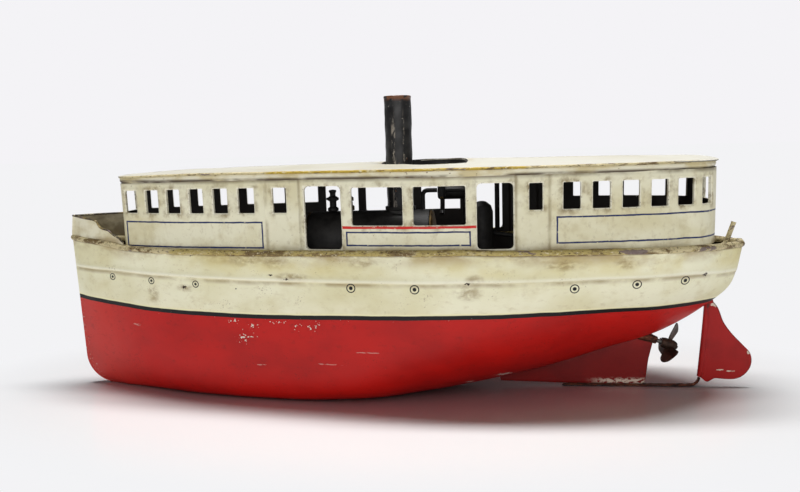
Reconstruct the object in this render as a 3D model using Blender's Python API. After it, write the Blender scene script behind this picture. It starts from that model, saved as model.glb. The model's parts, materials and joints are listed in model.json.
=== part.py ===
"""Tinplate live-steam ferry boat: pressed hull, lift-off cabin and roof, boiler, burner, engine, rudder.

Bow towards -X, stern towards +X, up +Z, keel plane at Z = 0. All dimensions below are in millimetres.
Positions along the boat are written as stations: the part's X is the station less MIDDLE_STATION.
"""

import math

import bmesh
import bpy
import numpy as np
from mathutils import Vector

MM = 0.001
GAP = 0.3
SEAM = GAP / 2
MIDDLE_STATION = 2.44

# Hull lines: position along the boat, then the value there.
HALF_BEAM = [(-198.5, 1.0), (-185, 7.5), (-170, 13.0), (-150, 20.0), (-120, 28.2), (-90, 33.6), (-60, 37.6),
             (-30, 42.4), (0, 47.3), (30, 50.4), (60, 50.0), (90, 47.2), (120, 44.0), (145, 40.0),
             (160, 34.3), (172, 27.4), (182, 19.8), (190, 12.8), (196, 6.4), (199.2, 0.4)]
KEEL_HEIGHT = [(-200, -0.7), (0, -0.7), (25, 0.8), (45, 3.3), (61, 6.3), (97.5, 14.6), (122.7, 22.9),
               (150.8, 31.7), (170, 41.7), (179, 48.4), (184, 53.6), (188.4, 59.6), (192, 66.6),
               (195.5, 73.6), (199.2, 77.5)]
FULLNESS = [(-195, 2.5), (-150, 4.4), (-110, 7.2), (-60, 9.0), (-20, 5.7), (20, 2.85), (60, 2.1), (90, 1.8),
            (118, 1.55), (150, 1.45), (178, 1.5), (195, 1.9)]
SHEER = [(-200, 92.6), (-168, 89.8), (-140, 87.9), (-60, 86.9), (0, 87.3), (40, 87.4), (80, 86.6),
         (140, 85.9), (178, 84.8), (200, 83.2)]
STATIONS = [-198.5, -190, -180, -168, -155, -140, -122, -104, -85, -65, -45, -25, -5, 15, 35, 55, 75, 95, 115,
            132, 147, 158, 168, 177, 184, 190, 195, 199.2]
SECTION_STEPS = [0.12, 0.3, 0.48, 0.64, 0.78, 0.88, 0.95, 0.985, 0.995, 1.0]
SHEET = 0.8
STEP_LEVEL = 71.5
STEP_PROUD = 0.7
STEM_RAKE = 2.6
FOREFOOT_RADIUS = 18.0
STEM_HALF = 1.0
STEM_TOP = 92.0
STEM_FADE_X = (-168.0, -198.5)
FLATTEST_SLOPE = 0.97

# Rolled bead round the rim.
BEAD_HALF_WIDTH = 1.6
BEAD_HALF_HEIGHT = 2.0
BEAD_INSET = 0.9

# Cabin, cornice and roof.
CABIN_INSET = 2.8
CABIN_NOSE_X = -154.6
CABIN_NOSE_LENGTH = 8.4
CABIN_TAIL_X = 160.0
CABIN_TAIL_LENGTH = 21.8
WALL_FOOT = 88.2
DOOR_SILL = 89.5
WIDE_SILL = 102.6
WINDOW_SILL = 109.4
WINDOW_TOP = 122.5
WALL_TOP = 127.0
WINDOW_WIDTH = 8.8
WINDOW_PITCH = 15.1
FORWARD_WINDOWS_X = -153.6
AFT_WINDOWS_X = 95.9
DOORS = [(-40.1, -20.5), (51.7, 70.5)]
WIDE_WINDOWS = [(-15.0, 12.9), (18.5, 46.0)]
NARROW_WINDOWS = [(-59.5, -51.9), (78.6, 85.4)]
END_WINDOW_Y = (1.6, 9.0)
CORNICE_PROUD = 0.8
CORNICE_HEIGHT = (127.3, 130.4)
ROOF_EDGE = 130.7
ROOF_OVERHANG = 1.0
ROOF_CROWN = 3.4
ROOF_SHEET = 0.9
ROOF_BEAD_RADIUS = 0.9

# Bow bulwarks and decks.
BULWARK_X = (-199.0, -158.0)
BULWARK_INSET = 0.5
PORT_BULWARK_TOP = [(-199.5, 106.6), (-181, 104.0), (-177, 102.0), (-173, 98.6), (-166, 96.4), (-161, 93.6),
                    (-158, 91.5)]
STARBOARD_BULWARK_TOP = 106.4
DECK_DROP = 3.6
FOREDECK_X = (-193.0, -165.0)
AFTERDECK_X = (183.5, 196.0)
DECK_INSET = 2.2
SOCKET_FOOT = (189.4, 0, 81.6)
SOCKET_LEAN = math.radians(18)

# Stern gear.
SHAFT_HUB = (160.0, 25.0)
SHAFT_TILT = math.radians(20)
SHAFT_RADIUS = 1.2
TUBE_RADIUS = 2.5
TUBE_SPAN = (7.0, 46.0)
SKEG_HALF = 0.6
RUDDER_AXIS_FOOT = (178.0, 3.0)
RUDDER_RAKE = math.radians(3.8)
RUDDER_HALF = 0.5
STOCK_RADIUS = 1.3
STOCK_SPAN = (2.9, 66.0)
TILLER_SPAN = (60.5, 63.5)
TILLER_RADIUS = 3.0
TRUNK_SPAN = (50.0, 60.0)
TRUNK_RADIUS = 2.4
HEEL_X = (100.0, 173.4)
HEEL_THICKNESS = 2.0
HEEL_HALF = 1.5
HEEL_BEND_RADIUS = 5.0
PROPELLER_RADIUS = 13.3
PROPELLER_CHORD = 11.0
PROPELLER_PITCH = math.radians(32)
PROPELLER_ROOT = 3.4
PROPELLER_HALF = 0.35

# Steam plant.
BOILER_RADIUS = 18.0
BOILER_Z = 88.0
BOILER_X = (-46.0, 24.0)
STACK_X = 6.8
STACK_RADIUS = 7.7
STACK_TOP = 171.6
BOILER_TOP = BOILER_Z + BOILER_RADIUS + GAP
CRADLE_INSETS = (10.0, 8.0)
CRADLE_HALF = 0.6
VALVE_X = -24.0
COCK_X = 31.0
PIPE_RADIUS = 1.3
PIPE_RISE = 10.8
CAN_X = 54.0
TANK_X = -84.0
TANK_GRIP_Z = 50.0
FILLER_Z = 62.3
MANIFOLD_Z = 42.0
MANIFOLD_X = (-70.6, 4.0)
MANIFOLD_RADIUS = 2.0
WICK_X = (-34.0, -14.0, 0.0)
WICK_Z = 44.4

# Engine, measured along the shaft line: t ahead of the propeller, height square to it.
FLYWHEEL_T = 60.0
CRANK_T = 80.0
CRANK_THROW = 6.0
CRANK_PIN_SPAN = (82.5, 84.2)
CYLINDER_T = 86.2
STANDARD_T = 75.0
PIVOT_HEIGHT = 32.0
PIVOT_RADIUS = 1.5
BED_HEIGHT = (-26.6, -24.3)
BED_LENGTH = (-4.0, 12.0)
BED_HALF = 13.0
BEARER_Y = 9.0
BEARER_HALF = 0.6


def curve(table, x):
    """Smooth curve through the table's points that never overshoots them."""
    xs, ys = np.array(table, float).T
    steps = np.diff(xs)
    slopes = np.diff(ys) / steps
    tangents = np.r_[slopes[0], np.zeros(len(xs) - 2), slopes[-1]]
    for i in range(1, len(xs) - 1):
        if slopes[i - 1] * slopes[i] > 0:
            ahead = 2 * steps[i] + steps[i - 1]
            behind = steps[i] + 2 * steps[i - 1]
            tangents[i] = (ahead + behind) / (ahead / slopes[i - 1] + behind / slopes[i])
    x = min(max(x, xs[0]), xs[-1])
    i = min(int(np.searchsorted(xs, x, side="right")) - 1, len(steps) - 1)
    t = (x - xs[i]) / steps[i]
    rise = ys[i + 1] - ys[i]
    start = tangents[i] * steps[i]
    end = tangents[i + 1] * steps[i]
    return float(ys[i] + start * t + (3 * rise - 2 * start - end) * t**2 + (start + end - 2 * rise) * t**3)


def material(name, colour, roughness, metallic=0.0):
    made = bpy.data.materials.get(name) or bpy.data.materials.new(name)
    made.use_nodes = True
    shader = made.node_tree.nodes["Principled BSDF"]
    shader.inputs["Base Color"].default_value = (*colour, 1)
    shader.inputs["Roughness"].default_value = roughness
    shader.inputs["Metallic"].default_value = metallic
    made.diffuse_color = (*colour, 1)
    return made


RED = ("hull_red", (0.36, 0.03, 0.02), 0.45)
CREAM = ("cream_paint", (0.68, 0.63, 0.46), 0.5)
WHITE = ("roof_white", (0.82, 0.8, 0.7), 0.5)
GOLD = ("worn_gold", (0.36, 0.27, 0.08), 0.5, 0.5)
BLACK = ("stove_black", (0.02, 0.02, 0.02), 0.55)
BRASS = ("aged_brass", (0.5, 0.36, 0.14), 0.4, 1.0)
BRONZE = ("dark_bronze", (0.1, 0.06, 0.04), 0.5, 0.8)
STEEL = ("dull_steel", (0.35, 0.34, 0.33), 0.4, 1.0)
TIN = ("bare_tin", (0.45, 0.44, 0.42), 0.4, 1.0)
RUST = ("rusty_strip", (0.09, 0.04, 0.025), 0.8, 0.3)


def add(name, points, faces, finish, origin=(0, 0, 0), smooth=True):
    """A closed mesh object from points in millimetres, its origin on its own joint axis."""
    mesh = bpy.data.meshes.new(name)
    shift = Vector(origin)
    mesh.from_pydata([(Vector(p) - shift) * MM for p in points], [], faces)
    work = bmesh.new()
    work.from_mesh(mesh)
    bmesh.ops.recalc_face_normals(work, faces=work.faces)
    work.to_mesh(mesh)
    work.free()
    obj = bpy.data.objects.new(name, mesh)
    obj.location = (shift - Vector((MIDDLE_STATION, 0, 0))) * MM
    bpy.context.scene.collection.objects.link(obj)
    mesh.materials.append(material(*finish))
    if smooth:
        for polygon in mesh.polygons:
            polygon.use_smooth = True
        mesh.set_sharp_from_angle(angle=math.radians(35))
    return obj


def cut(obj, cutter):
    cutter.hide_render = True
    cutter.display_type = "WIRE"
    modifier = obj.modifiers.new("cut_" + cutter.name, "BOOLEAN")
    modifier.operation = "DIFFERENCE"
    modifier.solver = "EXACT"
    modifier.object = cutter


def sheet(outer, inner):
    """Points and faces of the closed sheet between two grids of the same shape."""
    rows = len(outer)
    columns = len(outer[0])
    points = [p for row in outer for p in row] + [p for row in inner for p in row]
    half = rows * columns

    def at(i, j, side):
        return side * half + i * columns + j

    faces = []
    for i in range(rows - 1):
        for j in range(columns - 1):
            for side in (0, 1):
                ring = [at(i, j, side), at(i, j + 1, side), at(i + 1, j + 1, side), at(i + 1, j, side)]
                faces.append(ring if side else ring[::-1])
    for i in range(rows - 1):
        for j in (0, columns - 1):
            faces.append([at(i, j, 0), at(i + 1, j, 0), at(i + 1, j, 1), at(i, j, 1)])
    for j in range(columns - 1):
        for i in (0, rows - 1):
            faces.append([at(i, j, 0), at(i, j + 1, 0), at(i, j + 1, 1), at(i, j, 1)])
    return points, faces


def loop_tube(name, path, half_width, half_height, finish, sides=8, origin=(0, 0, 0)):
    """A closed bead of oval section swept round a closed path that runs level or nearly so."""
    count = len(path)
    points = []
    for i, here in enumerate(path):
        before = Vector(path[i - 1])
        after = Vector(path[(i + 1) % count])
        along = (after - before).normalized()
        out = along.cross(Vector((0, 0, 1))).normalized()
        for k in range(sides):
            turn = 2 * math.pi * (k + 0.5) / sides
            offset = out * half_width * math.cos(turn) + Vector((0, 0, half_height * math.sin(turn)))
            points.append(Vector(here) + offset)
    faces = []
    for i in range(count):
        for k in range(sides):
            ahead = (i + 1) % count
            beside = (k + 1) % sides
            faces.append([i * sides + k, i * sides + beside, ahead * sides + beside, ahead * sides + k])
    return add(name, points, faces, finish, origin)


def pipe(name, path, radius, finish, sides=8, origin=(0, 0, 0)):
    """A solid round bar or bent pipe through the path's points."""
    path = [Vector(p) for p in path]
    points = []
    side = None
    for i, here in enumerate(path):
        along = (path[min(i + 1, len(path) - 1)] - path[max(i - 1, 0)]).normalized()
        if side is None:
            side = along.orthogonal().normalized()
        side = (side - along * side.dot(along)).normalized()
        other = along.cross(side)
        for k in range(sides):
            turn = 2 * math.pi * k / sides
            points.append(here + (side * math.cos(turn) + other * math.sin(turn)) * radius)
    faces = [list(range(sides)), list(range(len(points) - sides, len(points)))]
    for i in range(len(path) - 1):
        for k in range(sides):
            beside = (k + 1) % sides
            faces.append([i * sides + k, i * sides + beside, (i + 1) * sides + beside, (i + 1) * sides + k])
    return add(name, points, faces, finish, origin)


def lathe(name, base, axis, profile, finish, sides=16, origin=(0, 0, 0), closed=False):
    """A turned body: the profile's (radius, height) points spun about the axis from base."""
    base = Vector(base)
    axis = Vector(axis).normalized()
    side = axis.orthogonal().normalized()
    other = axis.cross(side)
    points = []
    rings = []
    for radius, height in profile:
        centre = base + axis * height
        if radius == 0:
            rings.append([len(points)] * sides)
            points.append(centre)
            continue
        rings.append(list(range(len(points), len(points) + sides)))
        for k in range(sides):
            turn = 2 * math.pi * k / sides
            points.append(centre + (side * math.cos(turn) + other * math.sin(turn)) * radius)
    faces = []
    for i in range(len(rings) if closed else len(rings) - 1):
        low = rings[i]
        high = rings[(i + 1) % len(rings)]
        for k in range(sides):
            beside = (k + 1) % sides
            ring = [low[k], low[beside], high[beside], high[k]]
            faces.append(list(dict.fromkeys(ring)))
    return add(name, points, faces, finish, origin)


def rod(name, start, end, radius, finish, sides=12, origin=(0, 0, 0)):
    length = (Vector(end) - Vector(start)).length
    axis = Vector(end) - Vector(start)
    profile = [(0, 0), (radius, 0), (radius, length), (0, length)]
    return lathe(name, start, axis, profile, finish, sides, origin)


def tube(name, start, end, inner, outer, finish, sides=16, origin=(0, 0, 0)):
    length = (Vector(end) - Vector(start)).length
    axis = Vector(end) - Vector(start)
    ring = [(outer, 0), (outer, length), (inner, length), (inner, 0)]
    return lathe(name, start, axis, ring, finish, sides, origin, closed=True)


def plate(name, outline, half, finish, frame=None, origin=(0, 0, 0)):
    """A flat plate: the outline in the XZ plane, or in frame(a, b, c), thickened both ways."""
    place = frame or (lambda a, b, c: (a, c, b))
    count = len(outline)
    points = [place(a, b, side * half) for side in (-1, 1) for a, b in outline]
    faces = [list(range(count)), list(range(count, 2 * count))]
    for i in range(count):
        beside = (i + 1) % count
        faces.append([i, beside, count + beside, count + i])
    return add(name, points, faces, finish, origin, smooth=False)


def arc(cx, cz, radius, start, end, steps):
    turns = np.linspace(math.radians(start), math.radians(end), steps + 1)
    return [(cx + radius * math.cos(t), cz + radius * math.sin(t)) for t in turns]


# ---------------------------------------------------------------- hull


def shell_top(x):
    return curve(SHEER, x) - BEAD_HALF_HEIGHT - GAP


def stem_shift(x, z):
    """How far the stem's rake and rounded forefoot carry a point aft, fading out behind the bow."""
    start, end = STEM_FADE_X
    fade = min(1.0, max(0.0, (start - x) / (start - end)))
    low = max(0.0, FOREFOOT_RADIUS - z) / FOREFOOT_RADIUS
    rounding = FOREFOOT_RADIUS * (1 - math.sqrt(1 - min(low, FLATTEST_SLOPE) ** 2))
    return fade * (STEM_RAKE * (1 - z / STEM_TOP) + rounding)


def section(x):
    """Outer points of one half section, from the rim down to the keel, without the pressed step."""
    beam = curve(HALF_BEAM, x)
    keel = curve(KEEL_HEIGHT, x)
    top = shell_top(x)
    power = curve(FULLNESS, x)
    step = min((top - STEP_LEVEL) / (top - keel), 0.6)
    levels = [0.0, step / 2, step * 0.94, step] + [step + (1 - step) * s for s in SECTION_STEPS]
    floor = SEAM + (STEM_HALF - SEAM) * min(1.0, max(0.0, (-180 - x) / 18.5))
    row = []
    for v in levels:
        y = beam * max(0.0, 1 - min(v, 1.0) ** power) ** (1 / power)
        z = max(top - v * (top - keel), 0.0)
        row.append(Vector((x + stem_shift(x, z), max(y, floor), z)))
    return row


def hull_half(side, name):
    rows = [section(x) for x in STATIONS]
    outer = []
    inner = []
    for i, row in enumerate(rows):
        ahead = rows[min(i + 1, len(rows) - 1)]
        behind = rows[max(i - 1, 0)]
        outer_row = []
        inner_row = []
        for j, point in enumerate(row):
            down = row[min(j + 1, len(row) - 1)] - row[max(j - 1, 0)]
            normal = down.cross(ahead[j] - behind[j])
            normal = normal.normalized() if normal.length > 1e-9 else Vector((0, 1, 0))
            if normal.y < 0:
                normal = -normal
            if j == len(row) - 1:
                normal = Vector((0, 0, -1))
            if i == len(rows) - 1:
                normal = Vector((1, 0, 0))
            proud = STEP_PROUD if j < 3 and i < len(rows) - 1 else 0.0
            shift = Vector((normal.x, normal.y, 0)) * proud
            outside = point + shift
            inside = point - normal * SHEET
            outer_row.append((outside.x, side * outside.y, outside.z))
            inner_row.append((inside.x, side * max(inside.y, SEAM), inside.z))
        outer.append(outer_row)
        inner.append(inner_row)
    points, faces = sheet(outer, inner)
    return add(name, points, faces, RED)


def gunwale_bead():
    half = [(x, max(curve(HALF_BEAM, x) - BEAD_INSET, 0.0), curve(SHEER, x)) for x in STATIONS[1:-1]]
    port = [(x, -y, z) for x, y, z in half]
    bow = [(-200.0, 0.0, curve(SHEER, -200))]
    stern = [(199.4, 0.0, curve(SHEER, 200))]
    path = bow + port + stern + half[::-1]
    loop_tube("gunwale_bead", path, BEAD_HALF_WIDTH, BEAD_HALF_HEIGHT, GOLD)


def bulwark(side, name, top_of):
    outer = []
    inner = []
    for x in np.linspace(*BULWARK_X, 16):
        beam = max(curve(HALF_BEAM, x) - BULWARK_INSET, STEM_HALF)
        low = curve(SHEER, x) + BEAD_HALF_HEIGHT + GAP
        high = max(top_of(x), low + 0.8)
        outer.append([(x, side * beam, low), (x, side * beam, high)])
        inner.append([(x, side * (beam - SHEET), low), (x, side * (beam - SHEET), high)])
    points, faces = sheet(outer, inner)
    add(name, points, faces, CREAM, smooth=False)


def deck(name, ends, finish):
    """A deck plate between the hull sides, just under the rim bead."""
    upper = []
    lower = []
    for x in np.linspace(*ends, 8):
        half = max(curve(HALF_BEAM, x) - DECK_INSET, STEM_HALF)
        z = curve(SHEER, x) - DECK_DROP
        upper.append([(x, -half, z), (x, half, z)])
        lower.append([(x, -half, z - SHEET), (x, half, z - SHEET)])
    points, faces = sheet(upper, lower)
    add(name, points, faces, finish, smooth=False)


# ---------------------------------------------------------------- stern gear


def on_shaft(t, height=0.0, across=0.0):
    """The point t ahead of the propeller hub along the shaft, height above it and across to starboard."""
    aft = Vector((math.cos(SHAFT_TILT), 0, -math.sin(SHAFT_TILT)))
    up = Vector((math.sin(SHAFT_TILT), 0, math.cos(SHAFT_TILT)))
    return Vector((SHAFT_HUB[0], 0, SHAFT_HUB[1])) - aft * t + up * height + Vector((0, across, 0))


def on_rudder(height):
    x, z = RUDDER_AXIS_FOOT
    return Vector((x + height * math.tan(RUDDER_RAKE), 0, z + height))


def skeg_plate():
    top = [(x, curve(KEEL_HEIGHT, x) - GAP) for x in (66, 80, 97.5, 110, 122.7, 137, 150.5)]
    outline = top + [(151.0, 26.5), (148.8, 16.0), (147.2, 2.4), (64.0, 2.4)]
    return plate("skeg_plate", outline[::-1], SKEG_HALF, RED)


def heel_bar():
    """Flat strip under the skeg, its tail bent up into the rudder's lower bearing."""
    start, end = HEEL_X
    bend = arc(end, HEEL_BEND_RADIUS, HEEL_BEND_RADIUS, -90, 0, 5)
    inside = arc(end, HEEL_BEND_RADIUS, HEEL_BEND_RADIUS - HEEL_THICKNESS, 0, -90, 5)
    plate("heel_bar", [(start, 0.0)] + bend + inside + [(start, HEEL_THICKNESS)], HEEL_HALF, RUST)


def rudder_blade():
    hinge = on_rudder(0)
    outline = [(179.9, 6.0), (194.7, 4.2)] + arc(198.6, 11.9, 7.8, -78, 30, 6)
    outline += [(201.6, 24.2), (194.6, 31.7), (190.2, 38.0), (188.0, 44.2), (184.2, 50.6), (182.9, 50.6)]
    plate("rudder_blade", outline, RUDDER_HALF, RED, origin=hinge)


def rudder_parts():
    hinge = on_rudder(0)
    rudder_blade()
    low, high = STOCK_SPAN
    rod("rudder_stock", on_rudder(low), on_rudder(high), STOCK_RADIUS, RED, 12, hinge)
    low, high = TILLER_SPAN
    bore = STOCK_RADIUS + GAP
    tube("tiller_collar", on_rudder(low), on_rudder(high), bore, TILLER_RADIUS, STEEL, 12, hinge)


def propeller():
    hub = on_shaft(0)
    axis = on_shaft(-1) - hub
    ring = [(SHAFT_RADIUS + GAP, 0), (2.6, 0), (3.0, 1.6), (3.0, 6.4), (2.4, 8), (SHAFT_RADIUS + GAP, 8)]
    lathe("propeller_hub", on_shaft(4), axis, ring, BRONZE, 14, hub, closed=True)
    up = on_shaft(0, 1) - hub
    across = Vector((0, 1, 0))
    for number, turn in enumerate((0, 120, 240)):
        angle = math.radians(turn)
        out = up * math.cos(angle) + across * math.sin(angle)
        side = across * math.cos(angle) - up * math.sin(angle)
        front = []
        back = []
        for r in np.linspace(PROPELLER_ROOT, PROPELLER_RADIUS, 7):
            share = (r - PROPELLER_ROOT) / (PROPELLER_RADIUS - PROPELLER_ROOT)
            pitch = PROPELLER_PITCH * (1.35 - 0.55 * share)
            chord = side * math.cos(pitch) + axis * math.sin(pitch)
            normal = axis * math.cos(pitch) - side * math.sin(pitch)
            half = PROPELLER_CHORD / 2 * max(0.32, math.sin(math.pi * min(1.0, 0.14 + 0.78 * share)))
            centre = hub + out * r
            row = [centre + chord * half * w for w in (-1, -0.5, 0, 0.5, 1)]
            front.append([p + normal * PROPELLER_HALF for p in row])
            back.append([p - normal * PROPELLER_HALF for p in row])
        points, faces = sheet(front, back)
        add(f"propeller_blade_{number + 1}", points, faces, BRONZE, hub)


def shaft_line():
    hub = on_shaft(0)
    rod("propeller_shaft", on_shaft(-5), on_shaft(CRANK_T + 1.4), SHAFT_RADIUS, STEEL, 12, hub)
    bore = SHAFT_RADIUS + GAP
    rim = [(bore, 0), (4, 0), (4, 1.6), (11, 1.6), (11, 0), (14, 0), (14, 6), (11, 6), (11, 4.4), (4, 4.4),
           (4, 6), (bore, 6)]
    forward = on_shaft(1) - hub
    lathe("flywheel", on_shaft(FLYWHEEL_T), forward, rim, BLACK, 24, hub, closed=True)
    disc = [(bore, 0), (9, 0), (9, 2.2), (bore, 2.2)]
    lathe("crank_disc", on_shaft(CRANK_T), forward, disc, STEEL, 20, hub, closed=True)


def crank_pin():
    """Pin set in the crank disc's face; it stops short of the rod's eye, where the linkage is opened."""
    start, end = CRANK_PIN_SPAN
    rod("crank_pin", on_shaft(start, CRANK_THROW), on_shaft(end, CRANK_THROW), 0.9, STEEL, 10, on_shaft(0))


# ---------------------------------------------------------------- cabin and roof


def cabin_plan():
    """Dense outline of one cabin side from the nose on the centreline to the tail, as (x, half width)."""
    nose_half = curve(HALF_BEAM, CABIN_NOSE_X) - CABIN_INSET
    tail_half = curve(HALF_BEAM, CABIN_TAIL_X) - CABIN_INSET
    points = []
    for turn in np.linspace(0, math.pi / 2, 25)[:-1]:
        points.append((CABIN_NOSE_X - CABIN_NOSE_LENGTH * math.cos(turn), nose_half * math.sin(turn)))
    for x in np.linspace(CABIN_NOSE_X, CABIN_TAIL_X, 211):
        points.append((x, curve(HALF_BEAM, x) - CABIN_INSET))
    for turn in np.linspace(math.pi / 2, 0, 41)[1:]:
        points.append((CABIN_TAIL_X + CABIN_TAIL_LENGTH * math.cos(turn), tail_half * math.sin(turn)))
    points[0] = (points[0][0], SEAM)
    points[-1] = (points[-1][0], SEAM)
    return np.array(points)


PLAN = cabin_plan()
PLAN_LENGTH = np.r_[0, np.cumsum(np.hypot(*np.diff(PLAN, axis=0).T))]


def plan_at(s, offset=0.0):
    """Point of the cabin outline at arc length s, moved outwards by offset."""
    x = np.interp(s, PLAN_LENGTH, PLAN[:, 0])
    y = np.interp(s, PLAN_LENGTH, PLAN[:, 1])
    ahead = min(s + 1.0, PLAN_LENGTH[-1])
    behind = max(s - 1.0, 0.0)
    dx = np.interp(ahead, PLAN_LENGTH, PLAN[:, 0]) - np.interp(behind, PLAN_LENGTH, PLAN[:, 0])
    dy = np.interp(ahead, PLAN_LENGTH, PLAN[:, 1]) - np.interp(behind, PLAN_LENGTH, PLAN[:, 1])
    size = math.hypot(dx, dy)
    if s <= 0.05 or s >= PLAN_LENGTH[-1] - 0.05:
        dx, dy, size = 0.0, (1.0 if s <= 0.05 else -1.0), 1.0
    return x - offset * dy / size, max(y + offset * dx / size, SEAM)


def s_of_x(x):
    side = (PLAN[:, 1] > 10) | (np.abs(PLAN[:, 0]) < 100)
    return float(np.interp(x, PLAN[side, 0], PLAN_LENGTH[side]))


def openings():
    """Every window and door of one side as (start, end, sill, top), lengths along the wall."""
    found = []
    for k in range(6):
        start = s_of_x(FORWARD_WINDOWS_X) + k * WINDOW_PITCH
        found.append((start, start + WINDOW_WIDTH, WINDOW_SILL, WINDOW_TOP))
    for k in range(6):
        start = s_of_x(AFT_WINDOWS_X) + k * WINDOW_PITCH
        found.append((start, start + WINDOW_WIDTH, WINDOW_SILL, WINDOW_TOP))
    for x0, x1 in NARROW_WINDOWS:
        found.append((s_of_x(x0), s_of_x(x1), WINDOW_SILL, WINDOW_TOP))
    for x0, x1 in WIDE_WINDOWS:
        found.append((s_of_x(x0), s_of_x(x1), WIDE_SILL, WINDOW_TOP))
    for x0, x1 in DOORS:
        found.append((s_of_x(x0), s_of_x(x1), DOOR_SILL, WINDOW_TOP))
    near, far = END_WINDOW_Y
    nose_side = PLAN[:, 0] < CABIN_NOSE_X
    tail_side = PLAN[:, 0] > CABIN_TAIL_X
    nose = [float(np.interp(y, PLAN[nose_side, 1], PLAN_LENGTH[nose_side])) for y in (near, far)]
    tail = [float(np.interp(-y, -PLAN[tail_side, 1], PLAN_LENGTH[tail_side])) for y in (far, near)]
    found.append((nose[0], nose[1], WINDOW_SILL, WINDOW_TOP))
    found.append((tail[0], tail[1], WINDOW_SILL, WINDOW_TOP))
    return found


def wall(side, name):
    """One cabin side: a thin upright sheet following the outline, with its openings left out."""
    holes = openings()
    marks = sorted({0.0, float(PLAN_LENGTH[-1])} | {edge for hole in holes for edge in hole[:2]})
    stops = [marks[0]]
    for mark in marks[1:]:
        parts = max(1, math.ceil((mark - stops[-1]) / 12.5))
        start = stops[-1]
        stops += [start + (mark - start) * k / parts for k in range(1, parts + 1)]
    levels = [WALL_FOOT, DOOR_SILL, WIDE_SILL, WINDOW_SILL, WINDOW_TOP, WALL_TOP]
    columns = len(stops) - 1
    rows = len(levels) - 1

    def solid(i, j):
        if not (0 <= i < columns and 0 <= j < rows):
            return False
        s = (stops[i] + stops[i + 1]) / 2
        z = (levels[j] + levels[j + 1]) / 2
        return not any(a < s < b and low < z < high for a, b, low, high in holes)

    points = []
    index = {}

    def at(i, j, layer):
        key = (i, j, layer)
        if key not in index:
            index[key] = len(points)
            x, y = plan_at(stops[i], -SHEET * layer)
            points.append((x, side * y, levels[j]))
        return index[key]

    faces = []
    for i in range(columns):
        for j in range(rows):
            if not solid(i, j):
                continue
            for k in (0, 1):
                faces.append([at(i, j, k), at(i + 1, j, k), at(i + 1, j + 1, k), at(i, j + 1, k)])
            if not solid(i - 1, j):
                faces.append([at(i, j, 0), at(i, j + 1, 0), at(i, j + 1, 1), at(i, j, 1)])
            if not solid(i + 1, j):
                faces.append([at(i + 1, j, 0), at(i + 1, j + 1, 0), at(i + 1, j + 1, 1), at(i + 1, j, 1)])
            if not solid(i, j - 1):
                faces.append([at(i, j, 0), at(i + 1, j, 0), at(i + 1, j, 1), at(i, j, 1)])
            if not solid(i, j + 1):
                faces.append([at(i, j + 1, 0), at(i + 1, j + 1, 0), at(i + 1, j + 1, 1), at(i, j + 1, 1)])
    add(name, points, faces, CREAM)


def plan_stops(count):
    """Arc lengths round one side, closer together at the two rounded ends."""
    total = PLAN_LENGTH[-1]
    middle = np.linspace(20, total - 34, count)
    return [2.0, 6.5, 11.5] + list(middle) + [total - 26, total - 18, total - 10, total - 3]


def ring_path(offset, z, count=20):
    half = [(*plan_at(s, offset), z) for s in plan_stops(count)]
    port = [(x, -y, z) for x, y, z in half]
    return port + half[::-1]


def cornice_band():
    """Flat band round the wall's head, under the roof."""
    low, high = CORNICE_HEIGHT
    outer = ring_path(CORNICE_PROUD, low)
    inner = ring_path(-SHEET, low)
    count = len(outer)
    points = []
    for ring, z in ((outer, low), (outer, high), (inner, high), (inner, low)):
        points += [(x, y, z) for x, y, _ in ring]
    faces = []
    for layer in range(4):
        here = layer * count
        there = (layer + 1) % 4 * count
        for i in range(count):
            beside = (i + 1) % count
            faces.append([here + i, here + beside, there + beside, there + i])
    add("cornice_band", points, faces, CREAM)


def roof_height(y, half):
    widest = max(p[1] for p in PLAN)
    return ROOF_EDGE + ROOF_SHEET + ROOF_CROWN * (half / widest) * (1 - (y / half) ** 2)


def roof_panel():
    """Crowned roof sheet with the opening that the stack rises through."""
    upper = []
    lower = []
    for s in plan_stops(20):
        x, half = plan_at(s, ROOF_OVERHANG)
        shares = np.linspace(-1, 1, 11)
        upper.append([(x, w * half, roof_height(w * half, half)) for w in shares])
        lower.append([(x, w * half, roof_height(w * half, half) - ROOF_SHEET) for w in shares])
    points, faces = sheet(upper, lower)
    roof = add("roof_panel", points, faces, WHITE)
    cutter = plate("roof_cutter", slot_outline(0), 12, WHITE, lambda a, b, c: (a, b, 132 + c))
    cut(roof, cutter)


def slot_outline(grow):
    """Keyhole opening: a round end about the stack and an oval behind it over the steam cock."""
    around_stack = arc(STACK_X, 0, 9.4 + grow, 50, 310, 14)
    hatch = [(31 + (14.5 + grow) * math.cos(t), (16 + grow) * math.sin(t))
             for t in np.linspace(-math.pi * 0.78, math.pi * 0.78, 18)]
    return around_stack + hatch


def slot_lip():
    """Bead standing on the roof round the keyhole opening."""
    path = []
    for x, y in slot_outline(1.1):
        half = plan_at(s_of_x(x), ROOF_OVERHANG)[1]
        path.append((x, y, roof_height(y, half) + 1.3))
    loop_tube("slot_lip", path, 0.8, 0.8, WHITE, 6)


def roof_bead():
    path = ring_path(ROOF_OVERHANG + ROOF_BEAD_RADIUS + GAP, ROOF_EDGE + 0.5)
    loop_tube("roof_bead", path, ROOF_BEAD_RADIUS, ROOF_BEAD_RADIUS, GOLD, 6)


# ---------------------------------------------------------------- steam plant


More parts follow.
